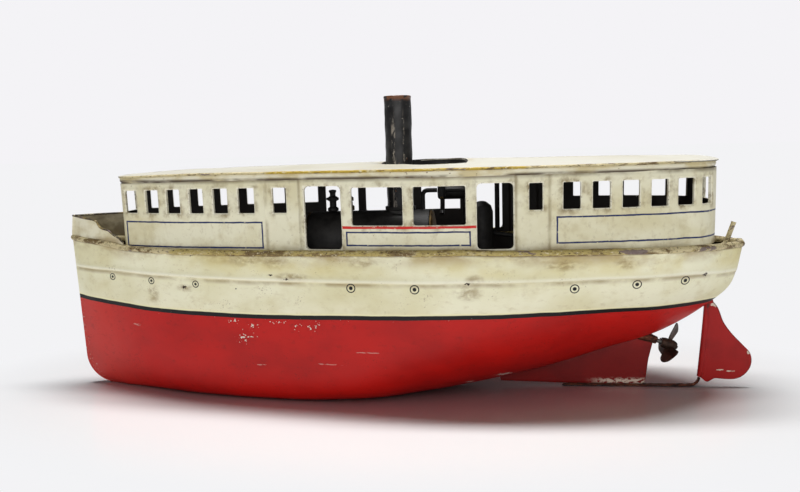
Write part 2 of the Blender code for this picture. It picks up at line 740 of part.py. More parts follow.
def boiler():
    start, end = BOILER_X
    inner = BOILER_RADIUS - 1.0
    tube("boiler_barrel", (start, 0, BOILER_Z), (end, 0, BOILER_Z), inner, BOILER_RADIUS, BLACK, 28)
    cap = [(0, 0), (BOILER_RADIUS * 0.7, 0.6), (BOILER_RADIUS, 2.2), (BOILER_RADIUS, 3.2), (0, 3.2)]
    lathe("boiler_front_cap", (start - 3.5, 0, BOILER_Z), (1, 0, 0), cap, BRASS, 28)
    lathe("boiler_rear_cap", (end + 3.5, 0, BOILER_Z), (-1, 0, 0), cap, BRASS, 28)
    front, rear = CRADLE_INSETS
    for name, x in (("boiler_cradle_front", start + front), ("boiler_cradle_rear", end - rear)):
        saddle = arc(0, BOILER_Z, BOILER_RADIUS + GAP, 200, 340, 14)
        outline = [(-19, 3.6), (-14, 3.6), (-14, 62), (14, 62), (14, 3.6), (19, 3.6), (22, 20), (22, 83)]
        outline += saddle[::-1] + [(-22, 83), (-22, 20)]
        plate(name, outline, CRADLE_HALF, STEEL, lambda a, b, c, x=x: (x + c, a, b))


def stack():
    foot = (STACK_X, 0, BOILER_TOP)
    tube("stack_tube", foot, (STACK_X, 0, STACK_TOP), STACK_RADIUS - SHEET, STACK_RADIUS, BLACK, 28)
    inner = STACK_RADIUS + GAP
    outer = STACK_RADIUS + 1.2
    ring = [(inner, 0), (outer, 0), (outer, 2), (inner, 2)]
    lathe("stack_foot_ring", foot, (0, 0, 1), ring, BLACK, 28, closed=True)


def fittings():
    """Safety valve, steam pipes with their cock, and the exhaust can aft of the boiler."""
    up = (0, 0, 1)
    valve_base = (VALVE_X, 0, BOILER_TOP)
    seat = [(1.3, 0), (3.4, 0), (3.4, 2.4), (2.4, 3.2), (2.4, 5.2), (1.3, 5.2)]
    lathe("safety_valve_seat", valve_base, up, seat, BRASS, 14, closed=True)
    plug = [(0, 0.6), (1.0, 0.6), (1.0, 5.6), (3.0, 5.6), (3.0, 7.6), (1.4, 8.6), (1.4, 10.6), (0, 11.2)]
    lathe("safety_valve_plug", valve_base, up, plug, BRASS, 14, (VALVE_X, 0, BOILER_TOP + 5))

    line = BOILER_TOP + PIPE_RISE
    front = [(20, 0, BOILER_TOP), (20, 0, line - 3.8), (21.3, 0, line - 1.2), (24, 0, line)]
    front.append((COCK_X - 2.6, 0, line))
    pipe("steam_pipe_front", front, PIPE_RADIUS, BRASS)
    cock_base = (COCK_X, 0, BOILER_TOP + 7)
    cock_top = (COCK_X, 0, BOILER_TOP + 16)
    lathe("steam_cock_body", cock_base, up, [(1.2, 0), (2.3, 0), (2.3, 7), (1.2, 7)], BRASS, 12, closed=True)
    stem = [(0, -1), (0.9, -1), (0.9, 8), (1.6, 8), (1.6, 9.2), (0, 9.2)]
    lathe("steam_cock_stem", cock_base, up, stem, BRASS, 12, cock_top)
    lever = [(COCK_X - 1.2, -1.2), (COCK_X + 1.2, -1.2), (COCK_X + 1.2, 13), (COCK_X - 1.2, 13)]
    plate("steam_cock_lever", lever, 0.6, BLACK, lambda a, b, c: (a, b, BOILER_TOP + 17.1 + c), cock_top)

    head = on_shaft(STANDARD_T - 1, PIVOT_HEIGHT + 5)
    rear = [(COCK_X + 2.6, 0, line), (42, 0, line), (44.8, 0, line - 1.4), (46, 0, line - 4.8)]
    rear += [(46, 0, BOILER_TOP - 8), (48, 10, BOILER_TOP - 14), (58, 12, BOILER_TOP - 16)]
    rear += [(head.x - 8, 8, head.z), (head.x - 3.2, 8, head.z)]
    pipe("steam_pipe_rear", rear, PIPE_RADIUS, BRASS)

    can = [(0, 8.6), (6.5, 8.6), (6.5, 104), (5.4, 107.6), (2.6, 109.8), (1.2, 110.2), (1.2, 108.4),
           (2.4, 108), (4.6, 106.4), (5.7, 103.6), (5.7, 9.4), (0, 9.4)]
    lathe("exhaust_can", (CAN_X, 0, 0), up, can, BLACK, 18)


def engine():
    """Bedplate, upright, oscillating cylinder and piston on a line square to the propeller shaft."""
    origin = on_shaft(0)
    forward = (on_shaft(1) - origin).normalized()
    up = (on_shaft(0, 1) - origin).normalized()

    def square(t):
        return lambda a, b, c: origin + forward * (t + c) + up * b + Vector((0, a, 0))

    def lengthwise(a, b, c):
        return origin + forward * (STANDARD_T + a) + up * b + Vector((0, c, 0))

    outline = [(-9, -24), (9, -24), (9, 20)] + arc(0, PIVOT_HEIGHT + 2, 8, 0, 180, 10) + [(-9, 20)]
    upright = plate("engine_standard", outline, 1.0, STEEL, square(STANDARD_T))
    for name, height, radius in (("shaft", 0, SHAFT_RADIUS + GAP), ("pivot", PIVOT_HEIGHT, PIVOT_RADIUS)):
        ends = on_shaft(STANDARD_T - 4, height), on_shaft(STANDARD_T + 4, height)
        cut(upright, rod(f"standard_{name}_cutter", *ends, radius, STEEL, 12))
    bottom, top = BED_HEIGHT
    back, front = BED_LENGTH
    bed = [(back, bottom), (front, bottom), (front, top), (back, top)]
    plate("engine_bed", bed, BED_HALF, BLACK, lengthwise)
    bearer = [(70, 12.5), (84, 15.5), (84, 24.0), (70, 29.1)]
    for name, y in (("engine_bearer_port", -BEARER_Y), ("engine_bearer_starboard", BEARER_Y)):
        plate(name, bearer, BEARER_HALF, STEEL, lambda a, b, c, y=y: (a, y + c, b))

    pivot = on_shaft(STANDARD_T + 2, PIVOT_HEIGHT)
    barrel = [(0, 44.6), (3.3, 44.6), (3.3, 20), (4.6, 20), (4.6, 45), (3.6, 46.4), (0, 46.4)]
    lathe("cylinder_barrel", on_shaft(CYLINDER_T), up, barrel, BRASS, 18, pivot)
    pin = [(0, 0), (2.4, 0), (2.4, 1.4), (1.2, 1.4), (1.2, 3.7), (0, 3.7)]
    lathe("cylinder_pivot", on_shaft(STANDARD_T - 2.7, PIVOT_HEIGHT), forward, pin, STEEL, 12, pivot)
    block = [(-4, 26), (4, 26), (4, 40), (-4, 40)]
    plate("cylinder_port_block", block, 2.4, BRASS, square(STANDARD_T + 3.7), pivot)
    eye_centre = on_shaft(CYLINDER_T, CRANK_THROW)
    piston = [(0, 32.4), (3.0, 32.4), (3.0, 37), (0, 37)]
    lathe("piston", on_shaft(CYLINDER_T), up, piston, STEEL, 16, eye_centre)
    rod_ends = on_shaft(CYLINDER_T, CRANK_THROW + 2.5), on_shaft(CYLINDER_T, 32.1)
    rod("piston_rod", *rod_ends, 0.8, STEEL, 10, eye_centre)
    eye = [(1.1, -1.1), (2.1, -1.1), (2.1, 1.1), (1.1, 1.1)]
    lathe("piston_rod_eye", eye_centre, forward, eye, BRASS, 14, eye_centre, closed=True)


def burner():
    """Spirit tank ahead of the boiler with a manifold and three wick tubes under it."""
    up = (0, 0, 1)
    home = (TANK_X, 0, TANK_GRIP_Z)
    can = [(0, 2.6), (13, 2.6), (13, 58), (3.2, 59.4), (3.2, 62), (2.2, 62), (2.2, 58.6), (12.2, 57.2),
           (12.2, 3.4), (0, 3.4)]
    lathe("burner_tank", (TANK_X, 0, 0), up, can, TIN, 24, home)
    cap = [(0, 0), (3.6, 0), (3.6, 2.7), (1.4, 3.7), (0, 3.7)]
    lathe("burner_filler_cap", (TANK_X, 0, FILLER_Z), up, cap, BRASS, 14, (TANK_X, 0, FILLER_Z))
    start, end = MANIFOLD_X
    rod("burner_manifold", (start, 0, MANIFOLD_Z), (end, 0, MANIFOLD_Z), MANIFOLD_RADIUS, TIN, 12, home)
    wick = [(2.4, 0), (3.2, 0), (3.2, 14), (2.4, 14)]
    for number, x in enumerate(WICK_X):
        lathe(f"wick_tube_{number + 1}", (x, 0, WICK_Z), up, wick, BRASS, 14, home, closed=True)


def flagstaff_socket():
    lean = (math.sin(SOCKET_LEAN), 0, math.cos(SOCKET_LEAN))
    socket = [(0.8, 0), (3.0, 0), (2.0, 1.8), (1.35, 2.6), (1.35, 14.6), (0.8, 14.6)]
    lathe("flagstaff_socket", SOCKET_FOOT, lean, socket, CREAM, 14, closed=True)


def main():
    for obj in list(bpy.data.objects):
        bpy.data.objects.remove(obj)
    port = hull_half(-1, "hull_port_shell")
    starboard = hull_half(1, "hull_starboard_shell")
    gunwale_bead()
    bulwark(-1, "bulwark_port", lambda x: curve(PORT_BULWARK_TOP, x))
    bulwark(1, "bulwark_starboard", lambda x: STARBOARD_BULWARK_TOP)
    deck("foredeck", FOREDECK_X, GOLD)
    deck("afterdeck", AFTERDECK_X, GOLD)
    skeg = skeg_plate()
    heel_bar()
    start, end = TUBE_SPAN
    stern_hole = rod("stern_tube_cutter", on_shaft(start - 11), on_shaft(end + 4), TUBE_RADIUS + GAP, RED, 16)
    low, high = TRUNK_SPAN
    ends = on_rudder(low - 10), on_rudder(high + 12)
    trunk_hole = rod("rudder_trunk_cutter", *ends, TRUNK_RADIUS + GAP, RED, 16)
    for obj in (port, starboard):
        cut(obj, stern_hole)
        cut(obj, trunk_hole)
    cut(skeg, stern_hole)
    tube("stern_tube", on_shaft(start), on_shaft(end), SHAFT_RADIUS + GAP, TUBE_RADIUS, RUST)
    tube("rudder_trunk", on_rudder(low), on_rudder(high), STOCK_RADIUS + GAP, TRUNK_RADIUS, TIN)
    rudder_parts()
    propeller()
    shaft_line()
    crank_pin()
    flagstaff_socket()
    wall(-1, "cabin_port_wall")
    wall(1, "cabin_starboard_wall")
    cornice_band()
    roof_panel()
    roof_bead()
    slot_lip()
    boiler()
    stack()
    fittings()
    engine()
    burner()


main()
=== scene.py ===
"""Visual model of a tinplate live-steam ferry boat, built on the frame of its CAD bodies.

Bow towards -X, stern towards +X, port side -Y, up +Z. Lengths are in millimetres. Positions along the boat
are stations: the frame's X is the station less MIDDLE_STATION.
"""

import json
import math

import bmesh
import bpy
import numpy as np
from mathutils import Matrix, Vector, noise

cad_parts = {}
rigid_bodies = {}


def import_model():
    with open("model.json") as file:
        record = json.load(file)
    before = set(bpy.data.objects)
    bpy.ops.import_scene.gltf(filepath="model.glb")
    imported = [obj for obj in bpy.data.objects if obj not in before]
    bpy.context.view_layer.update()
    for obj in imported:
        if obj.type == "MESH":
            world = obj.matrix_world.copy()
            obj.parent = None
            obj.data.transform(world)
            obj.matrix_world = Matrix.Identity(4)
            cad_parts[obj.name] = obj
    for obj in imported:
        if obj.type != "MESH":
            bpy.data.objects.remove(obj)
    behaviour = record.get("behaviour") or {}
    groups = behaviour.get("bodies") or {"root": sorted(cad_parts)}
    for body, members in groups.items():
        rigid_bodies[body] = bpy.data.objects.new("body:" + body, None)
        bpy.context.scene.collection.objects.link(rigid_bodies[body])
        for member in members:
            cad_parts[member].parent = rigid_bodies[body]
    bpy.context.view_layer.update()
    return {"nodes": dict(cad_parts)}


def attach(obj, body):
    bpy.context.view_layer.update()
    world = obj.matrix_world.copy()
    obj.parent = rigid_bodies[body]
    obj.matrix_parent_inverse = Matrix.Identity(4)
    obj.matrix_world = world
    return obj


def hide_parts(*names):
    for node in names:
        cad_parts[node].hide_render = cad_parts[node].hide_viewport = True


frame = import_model()
MM = 0.001
MIDDLE_STATION = 2.44
UP = (0, 0, 1)
AFT = (1, 0, 0)

# Hull lines: position along the boat, then the value there.
HALF_BEAM = [(-198.5, 0.7), (-185, 7.5), (-170, 13.0), (-150, 20.0), (-120, 28.2), (-90, 33.6), (-60, 37.6),
             (-30, 42.4), (0, 47.0), (30, 50.0), (60, 49.7), (90, 47.1), (120, 44.0), (145, 40.0),
             (160, 34.5), (172, 27.4), (182, 19.8), (190, 12.8), (196, 6.4), (199.2, 0.4)]
KEEL_HEIGHT = [(-200, -0.7), (0, -0.7), (25, 0.8), (45, 3.3), (61, 6.3), (97.5, 14.6), (122.7, 22.6),
               (150.8, 31.5), (170, 41.6), (179, 47.8), (183, 50.8), (188.1, 55.0), (191.2, 58.2),
               (193.4, 61.8), (195.3, 68.6), (196.2, 74.0), (198.0, 82.0)]
FULLNESS = [(-195, 2.5), (-150, 4.4), (-110, 7.2), (-60, 9.0), (-20, 5.7), (20, 2.84), (60, 2.08), (90, 1.8),
            (118, 1.55), (150, 1.45), (178, 1.5), (195, 1.9)]
RIM_TOP = [(-200, 94.8), (-167, 91.8), (-155, 90.0), (-112, 88.9), (-68, 88.7), (0, 89.3), (40, 89.5),
           (79, 88.5), (114, 88.3), (140, 87.9), (162, 87.7), (178, 86.8), (200, 85.8)]
WATERLINE = [(-200, 57.4), (-171, 55.4), (-142, 53.6), (-115, 52.8), (-70, 52.1), (-20, 53.1), (21, 53.8),
             (110, 53.9), (178, 53.5), (199, 53.5)]
STEP_LINE = [(-199, 75.0), (-177, 74.4), (-139, 73.3), (-96, 72.0), (-73, 71.4), (165, 71.4), (183, 69.6),
             (199, 69.0)]
# Top of the sheet at the bow: scrolled down on the port side, level on the other.
PORT_BULWARK = [(-199.6, 106.6), (-196.2, 105.9), (-188, 105.1), (-180.5, 104.4), (-177.0, 103.4),
                (-175.6, 101.2), (-173.6, 99.4), (-170.2, 98.6), (-167.8, 98.0), (-165.8, 96.4),
                (-163.4, 95.2), (-160.8, 93.9), (-158.6, 92.2), (-157.0, 91.2)]
BULWARK_HEAD = 106.4
BOW_LEAN = 1.8
SHEET = 0.7
STEP_PROUD = 0.7
STEM_RAKE = 2.6
FOREFOOT_RADIUS = 18.0
PORTHOLES = [(-167.7, 70.3), (-138.6, 69.5), (-109.0, 68.6), (-16.3, 68.5), (18.5, 68.4), (101.8, 66.9),
             (134.5, 67.9), (161.0, 68.2)]
# The small ones come first. Each ring: inner radius, outer radius, radius of the dot.
SMALL_PORTHOLES = 3
SMALL_PORTHOLE = (1.5, 2.1, 0.8)
LARGE_PORTHOLE = (1.9, 2.55, 1.05)

# Cabin, cornice and roof.
CABIN_INSET = 2.8
CABIN_NOSE_X = -154.6
CABIN_NOSE_LENGTH = 6.2
CABIN_TAIL_X = 160.0
CABIN_TAIL_LENGTH = 21.8
WALL_FOOT = 86.6
WALL_TOP = 127.2
ROOF_EDGE = 131.4
ROOF_CROWN = 3.2
DOOR_SILL = 88.9
WIDE_SILL = 101.9
WINDOW_SILL = 108.8
WINDOW_TOP = 122.7
FORWARD_WINDOWS = [(-154.5, -146.7), (-140.2, -131.5), (-125.7, -117.0), (-110.7, -102.1), (-95.7, -87.0),
                   (-80.5, -70.9), (-60.3, -52.3)]
AFT_WINDOWS = [(78.6, 85.6), (95.9, 104.8), (110.9, 119.9), (126.1, 134.9), (141.0, 149.9), (155.4, 163.9),
               (168.9, 174.9)]
DOORS = [(-41.6, -20.9), (51.7, 70.5)]
WIDE_WINDOWS = [(-15.0, 12.9), (18.5, 46.0)]
FAR_WINDOWS = [(-153.5, -146.0), (-140.5, -131.5), (-125.8, -117.0), (-112.0, -103.0), (-95.4, -87.0),
               (-80.5, -71.5), (-63.0, -50.5), (74.6, 81.6), *AFT_WINDOWS[1:]]
FAR_DOORS = [(-45.5, -25.2), (47.7, 66.9)]
FAR_WIDE_WINDOWS = [(-20.2, 9.6), (15.2, 42.5)]
NOSE_WINDOW_HALF = 6.8
TAIL_WINDOW_HALF = 8.6
PANEL_SEAMS = (-64.0, -44.4, 71.7, 89.0)
# Two lengths along the wall nearer than this are the same.
TOUCH = 1e-6

# Stack and boiler. The stack and the fittings stand on BOILER_TOP.
STACK_X = 6.8
STACK_RADIUS = 7.7
STACK_TOP = 171.6
BOILER_RADIUS = 18.0
BOILER_Z = 88.0
BOILER_TOP = BOILER_Z + BOILER_RADIUS + 0.3
BOILER_X = (-46.0, 24.0)
VALVE_X = -24.0
COCK_X = 31.0
TANK_X = -84.0

# The roof's keyhole opening: a round end about the stack, then an oval.
KEYHOLE_ROUND = 9.4
KEYHOLE_OVAL = (14.5, 16.0)
KEYHOLE_OVAL_X = 31.0

# Stern gear and engine. The hub and the rudder's foot are X, Z; CRANK_T is ahead of the hub along the shaft.
SHAFT_HUB = (160.0, 25.0)
SHAFT_TILT = math.radians(20)
SHAFT_BORE = 1.5
VANE_ROOT = 2.6
VANE_TIP = 13.3
VANE_HALF_CHORD = 5.5
HEEL_BEND = (172.8, 5.6)
RUDDER_FOOT = (178.0, 3.0)
RUDDER_RAKE = math.radians(3.8)
RUDDER_FOLD = 1.65
CRANK_T = 80.0
CRANK_THROW = 6.0
PIVOT_HEIGHT = 32.0

# Studio: strengths against the white of the background, distances on the table from the boat's middle.
ROOM_LIGHT = 0.1
TABLE_REACH = 8.0
TABLE_DROP = 0.0002
SHADOW_REACH = 190.0
WHITE_REACH = 300.0
CAMERA_PLACE = (55.9, -424.1, 146.6)
CAMERA_TURN = (6.75, -8.27, 1.76)
LENS = 32.85


def pchip(xs, ys, x):
    """Smooth curve through the points that never overshoots them."""
    xs = np.asarray(xs, float)
    ys = np.asarray(ys, float)
    steps = np.diff(xs)
    slopes = np.diff(ys) / steps
    tangents = np.r_[slopes[0], np.zeros(len(xs) - 2), slopes[-1]]
    for i in range(1, len(xs) - 1):
        if slopes[i - 1] * slopes[i] > 0:
            ahead = 2 * steps[i] + steps[i - 1]
            behind = steps[i] + 2 * steps[i - 1]
            tangents[i] = (ahead + behind) / (ahead / slopes[i - 1] + behind / slopes[i])
    x = np.clip(np.asarray(x, float), xs[0], xs[-1])
    i = np.clip(np.searchsorted(xs, x, side="right") - 1, 0, len(steps) - 1)
    t = (x - xs[i]) / steps[i]
    rise = ys[i + 1] - ys[i]
    start = tangents[i] * steps[i]
    end = tangents[i + 1] * steps[i]
    return ys[i] + start * t + (3 * rise - 2 * start - end) * t**2 + (start + end - 2 * rise) * t**3


def curve(table, x):
    xs, ys = zip(*table)
    return pchip(xs, ys, x)


def smooth(value, low, high):
    t = np.clip((value - low) / (high - low), 0, 1)
    return t * t * (3 - 2 * t)


def wander(points, size, amount, seed=0.0):
    """Small even unevenness at each point, for hand-worked tinplate."""
    shift = Vector((seed, 2 * seed, -seed))
    return np.array([noise.noise(Vector(p) / size + shift) * amount for p in points])


# ---------------------------------------------------------------- finishes

# The library's slot for each finish.
SLOTS = {
    "hull_enamel": "hull_red", "red_enamel": "hull_red", "cabin_enamel": "cream_paint",
    "cornice_enamel": "cream_paint", "bulwark_enamel": "cream_paint", "roof_enamel": "roof_white",
    "rim_lacquer": "worn_gold", "roof_gold": "worn_gold", "stack_enamel": "stove_black",
    "stove_enamel": "stove_black", "old_brass": "aged_brass", "dull_steel": "dull_steel",
    "old_tin": "bare_tin", "rusted_strip": "rusty_strip", "dark_bronze": "dark_bronze",
}


def rgb(red, green, blue):
    """Linear colour of an 8-bit display colour."""
    made = []
    for value in (red, green, blue):
        value /= 255
        made.append(value / 12.92 if value <= 0.04045 else ((value + 0.055) / 1.055) ** 2.4)
    return tuple(made)


class Paint:
    """The node graph of one finish. Lengths in it are in millimetres."""

    def __init__(self, name):
        self.material = bpy.data.materials.new(name)
        self.material.use_nodes = True
        self.nodes = self.material.node_tree.nodes
        self.links = self.material.node_tree.links
        self.shader = self.nodes["Principled BSDF"]
        scaled = self.nodes.new("ShaderNodeVectorMath")
        scaled.operation = "SCALE"
        scaled.inputs["Scale"].default_value = 1000
        self.links.new(self.nodes.new("ShaderNodeTexCoord").outputs["Object"], scaled.inputs[0])
        self.at = scaled.outputs[0]
        split = self.nodes.new("ShaderNodeSeparateXYZ")
        self.links.new(self.at, split.inputs[0])
        self.x, self.y, self.z = split.outputs
        self.x = self.plus(self.x, MIDDLE_STATION)

    def set(self, socket, value):
        if isinstance(value, bpy.types.NodeSocket):
            self.links.new(value, socket)
        elif isinstance(value, tuple) and len(socket.default_value) == 4:
            socket.default_value = (*value, 1)
        else:
            socket.default_value = value

    def math(self, operation, a, b=0.0, clamp=False):
        node = self.nodes.new("ShaderNodeMath")
        node.operation = operation
        node.use_clamp = clamp
        self.set(node.inputs[0], a)
        self.set(node.inputs[1], b)
        return node.outputs[0]

    def plus(self, a, b):
        return self.math("ADD", a, b)

    def less(self, a, b):
        return self.math("SUBTRACT", a, b)

    def times(self, *values):
        result = values[0]
        for value in values[1:]:
            result = self.math("MULTIPLY", result, value)
        return result

    def most(self, *values):
        result = values[0]
        for value in values[1:]:
            result = self.math("MAXIMUM", result, value)
        return result

    def step(self, value, low, high):
        node = self.nodes.new("ShaderNodeMapRange")
        node.interpolation_type = "SMOOTHSTEP"
        self.set(node.inputs["Value"], value)
        node.inputs["From Min"].default_value = low
        node.inputs["From Max"].default_value = high
        return node.outputs["Result"]

    def noise(self, size, detail=4.0, seed=0.0, stretch=(1, 1, 1), roughness=0.55):
        mapping = self.nodes.new("ShaderNodeMapping")
        mapping.inputs["Scale"].default_value = [1 / (size * s) for s in stretch]
        mapping.inputs["Location"].default_value = (seed, -seed, seed * 0.5)
        self.links.new(self.at, mapping.inputs["Vector"])
        node = self.nodes.new("ShaderNodeTexNoise")
        node.inputs["Scale"].default_value = 1
        node.inputs["Detail"].default_value = detail
        node.inputs["Roughness"].default_value = roughness
        self.links.new(mapping.outputs[0], node.inputs["Vector"])
        return node.outputs["Fac"]

    def mix(self, factor, a, b):
        node = self.nodes.new("ShaderNodeMix")
        node.data_type = "RGBA"
        self.set(node.inputs["Factor"], factor)
        self.set(node.inputs[6], a)
        self.set(node.inputs[7], b)
        return node.outputs[2]

    def over(self, under, colour, *masks):
        """The 8-bit colour laid over what is under it, as far as all of the masks let it."""
        return self.mix(self.times(*masks), under, rgb(*colour))

    def attribute(self, name):
        node = self.nodes.new("ShaderNodeAttribute")
        node.attribute_name = name
        return node.outputs["Fac"]

    def away(self, centre, size=(1, 1)):
        """Distance in the XZ plane from the centre, in units of size."""
        dx = self.math("MULTIPLY", self.less(self.x, centre[0]), 1 / size[0])
        dz = self.math("MULTIPLY", self.less(self.z, centre[1]), 1 / size[1])
        return self.math("SQRT", self.plus(self.times(dx, dx), self.times(dz, dz)))

    def speckle(self, size, share, seed=0.0, stretch=(1, 1, 1)):
        """Sharp small spots covering roughly this share, in drifts."""
        fine = self.noise(size, 2.0, seed, stretch, 0.6)
        drift = self.noise(size * 14, 2.0, seed + 5)
        level = self.plus(fine, self.times(self.less(drift, 0.5), 0.5))
        return self.step(level, 0.86 - share, 0.9 - share)

    def finish(self, colour, roughness, metallic=0.0, height=None, depth=0.1, coat=0.0):
        self.set(self.shader.inputs["Base Color"], colour)
        self.set(self.shader.inputs["Roughness"], roughness)
        self.set(self.shader.inputs["Metallic"], metallic)
        self.shader.inputs["Specular IOR Level"].default_value = 0.32
        self.shader.inputs["Coat Weight"].default_value = coat
        self.shader.inputs["Coat Roughness"].default_value = 0.25
        if height is not None:
            bump = self.nodes.new("ShaderNodeBump")
            bump.inputs["Strength"].default_value = 1.0
            bump.inputs["Distance"].default_value = depth * MM
            self.links.new(height, bump.inputs["Height"])
            self.links.new(bump.outputs[0], self.shader.inputs["Normal"])
        return self.material


CREAM = rgb(241, 238, 208)
CREAM_DARK = rgb(226, 220, 180)
BARE = rgb(226, 214, 200)
INK = rgb(9, 10, 12)
RED = rgb(190, 15, 6)
RED_DEEP = rgb(168, 10, 5)
# Paint damage on the port side: x, z and the half sizes of each cluster.
PORT_CHIPS = [(-87, 47.6, 5, 2.2), (-75, 45.5, 6, 4), (-58, 48.0, 10, 2.0), (-47, 45.5, 7, 4),
              (-38, 46.5, 6, 4), (-80, 38, 10, 6), (-190, 13, 2, 1.5)]
PORT_SCRATCHES = [(-71, 22.8, 6, 0.45), (-9, 32.6, 12, 0.4), (-152, 42, 4, 1.0), (-30, 25, 16, 0.5)]
PORT_BARE = [(46, 8.4, 3.5, 1.0), (66, 12.6, 7.5, 1.5)]
PORT_NICKS = [(-110.4, 85.1, 1.6, 0.7), (-62.6, 74.9, 2.0, 0.7), (172.4, 70.6, 1.8, 1.5),
              (-84, 66.5, 0.7, 0.7), (-53, 72.8, 1.7, 0.9), (-116.5, 66.4, 2.2, 1.3), (46.5, 71.2, 2.4, 1.0)]
PORT_STAINS = [(-137.8, 62.0, 5, 8), (-76.8, 84, 17, 6), (-60, 82, 10, 5), (-10, 83, 12, 4), (50, 73, 7, 4),
               (46, 66, 10, 6), (96, 80, 16, 4), (128, 80, 9, 5), (-50, 74, 14, 3), (-116, 66, 8, 3)]


def nearness(p, places):
    """1 at the middle of each cluster, falling to 0 at its edge."""
    found = None
    for x, z, half_x, half_z in places:
        near = p.math("SUBTRACT", 1.0, p.away((x, z), (half_x, half_z)), clamp=True)
        found = near if found is None else p.most(found, near)
    return found


def chips(p, places, fine, share, reach=0.34):
    """Sharp-edged marks cut from the fine noise, thickest at the middle of each cluster."""
    near = nearness(p, places)
    level = p.plus(fine, p.times(near, reach))
    return p.times(p.step(level, 0.9 - share, 0.92 - share), p.step(near, 0.02, 0.12))


def hull_paint():
    p = Paint("hull_enamel")
    line = p.plus(p.attribute("waterline"), p.times(p.less(p.noise(14, 2.0), 0.5), 0.6))
    step = p.attribute("step")
    rim = p.attribute("rim")
    port = p.math("LESS_THAN", p.y, 0.0)
    broad = p.noise(34, 5.0, stretch=(1.6, 1, 1))
    cloud = p.noise(11, 5.0, 3, (1.5, 1, 1))
    grime = p.noise(3.2, 5.0, 31, (1.6, 1, 1), 0.65)

    cream = p.mix(p.step(broad, 0.38, 0.68), CREAM, CREAM_DARK)
    cream = p.over(cream, (204, 190, 138), p.step(cloud, 0.5, 0.78), 0.4)
    cream = p.over(cream, (176, 158, 112), p.step(grime, 0.52, 0.74), 0.26)
    high = p.times(p.step(rim, 17.0, 6.0), p.step(p.x, -150, -70),
                   p.step(p.noise(26, 4.0, 55, (1.6, 1, 1)), 0.36, 0.6))
    cream = p.over(cream, (214, 198, 122), high, 0.6)
    stain = p.times(p.step(rim, 8.5, 0.2), p.step(p.noise(15, 5.0, 8, (2, 1, 1), 0.6), 0.34, 0.6))
    cream = p.over(cream, (150, 116, 54), stain, 0.68)
    soak = p.times(p.step(nearness(p, PORT_STAINS), 0.0, 0.8), port, p.step(grime, 0.32, 0.62))
    cream = p.over(cream, (138, 110, 62), soak, 0.62)
    tight = p.times(p.step(rim, 1.7, 0.2), p.step(grime, 0.3, 0.5))
    cream = p.over(cream, (78, 52, 24), tight, 0.85)
    # Darker brown just under the step's ridge, in patches: dirt, and also painted shade under the ridge.
    dirt_and_shade_below_step = p.times(p.step(step, -3.4, -1.0), p.step(step, 0.2, -0.9))
    cream = p.over(cream, (136, 110, 68), dirt_and_shade_below_step, p.step(p.noise(20, 5.0, 2), 0.3, 0.6), 0.62)
    # A lighter line along the pressed ridge above the step: a painted highlight.
    ridge_highlight = p.times(p.step(step, -0.4, 0.5), p.step(step, 2.4, 1.0))
    cream = p.over(cream, (248, 246, 226), ridge_highlight, 0.5)
    cream = p.over(cream, (122, 92, 52), p.speckle(0.9, 0.145, 4), 0.45)

    red = p.mix(p.step(broad, 0.4, 0.7), RED, RED_DEEP)
    red = p.over(red, (200, 38, 28), p.step(cloud, 0.5, 0.8), 0.22)
    # Paler, pinker red towards the bow: a painted sheen.
    red = p.over(red, (214, 84, 72), p.step(p.x, -135, -192), 0.3)
    red = p.over(red, (112, 14, 10), p.step(grime, 0.54, 0.74), 0.34)
    red = p.over(red, (84, 12, 9), p.speckle(0.9, 0.17, 9), 0.45)

    colour = p.mix(p.step(line, -2.5, -2.3), red, INK)
    colour = p.over(colour, (240, 234, 188), p.step(line, -0.1, 0.1))
    colour = p.mix(p.step(line, 0.7, 1.1), colour, cream)

    rings = None
    for number, centre in enumerate(PORTHOLES):
        far = p.away(centre)
        inner, outer, dot = SMALL_PORTHOLE if number < SMALL_PORTHOLES else LARGE_PORTHOLE
        ring = p.times(p.step(far, inner, inner + 0.12), p.step(far, outer + 0.08, outer - 0.08))
        mark = p.most(ring, p.step(far, dot + 0.1, dot - 0.1))
        rings = mark if rings is None else p.most(rings, mark)
    ink_wear = p.step(p.noise(1.0, 2.0, 12), 0.24, 0.36)
    colour = p.mix(p.times(rings, ink_wear), colour, INK)

    fine = p.noise(0.8, 3.0, 21, (1.5, 1, 1), 0.6)
    torn = chips(p, PORT_CHIPS, p.noise(1.15, 1.0, 61, roughness=0.5), 0.11, 0.26)
    scratched = p.times(chips(p, PORT_SCRATCHES, p.noise(0.7, 3.0, 41, (5, 1, 1)), 0.24, 0.3), 0.38)
    bare = chips(p, PORT_BARE, p.noise(1.6, 4.0, 43, (1.6, 1, 1), 0.65), 0.26)
    worn = p.times(p.most(torn, scratched, bare), port)
    edge_chips = p.times(p.step(fine, 0.62, 0.65), p.step(p.attribute("stem"), 2.8, 0.5))
    loose = p.times(p.step(fine, 0.79, 0.8), p.step(line, -2.4, -3.4))
    line_chips = p.times(p.step(fine, 0.71, 0.73), p.step(line, -4.2, -2.4), p.step(line, 0.6, -0.6))
    worn = p.most(worn, p.times(edge_chips, 0.9), loose, line_chips)
    colour = p.mix(worn, colour, BARE)
    nicks = p.times(chips(p, PORT_NICKS, p.noise(0.9, 2.0, 30), 0.26), port)
    colour = p.over(colour, (48, 30, 16), nicks)
    # The inner face is painted near black: painted shade for the dim inside of the hull.
    colour = p.over(colour, (40, 30, 24), p.attribute("inside"))

    relief = p.less(p.times(p.noise(2.2, 3.0, 14), 0.35), worn)
    gloss = p.plus(0.38, p.times(cloud, 0.24))
    return p.finish(colour, gloss, 0.0, relief, 0.14, 0.03)


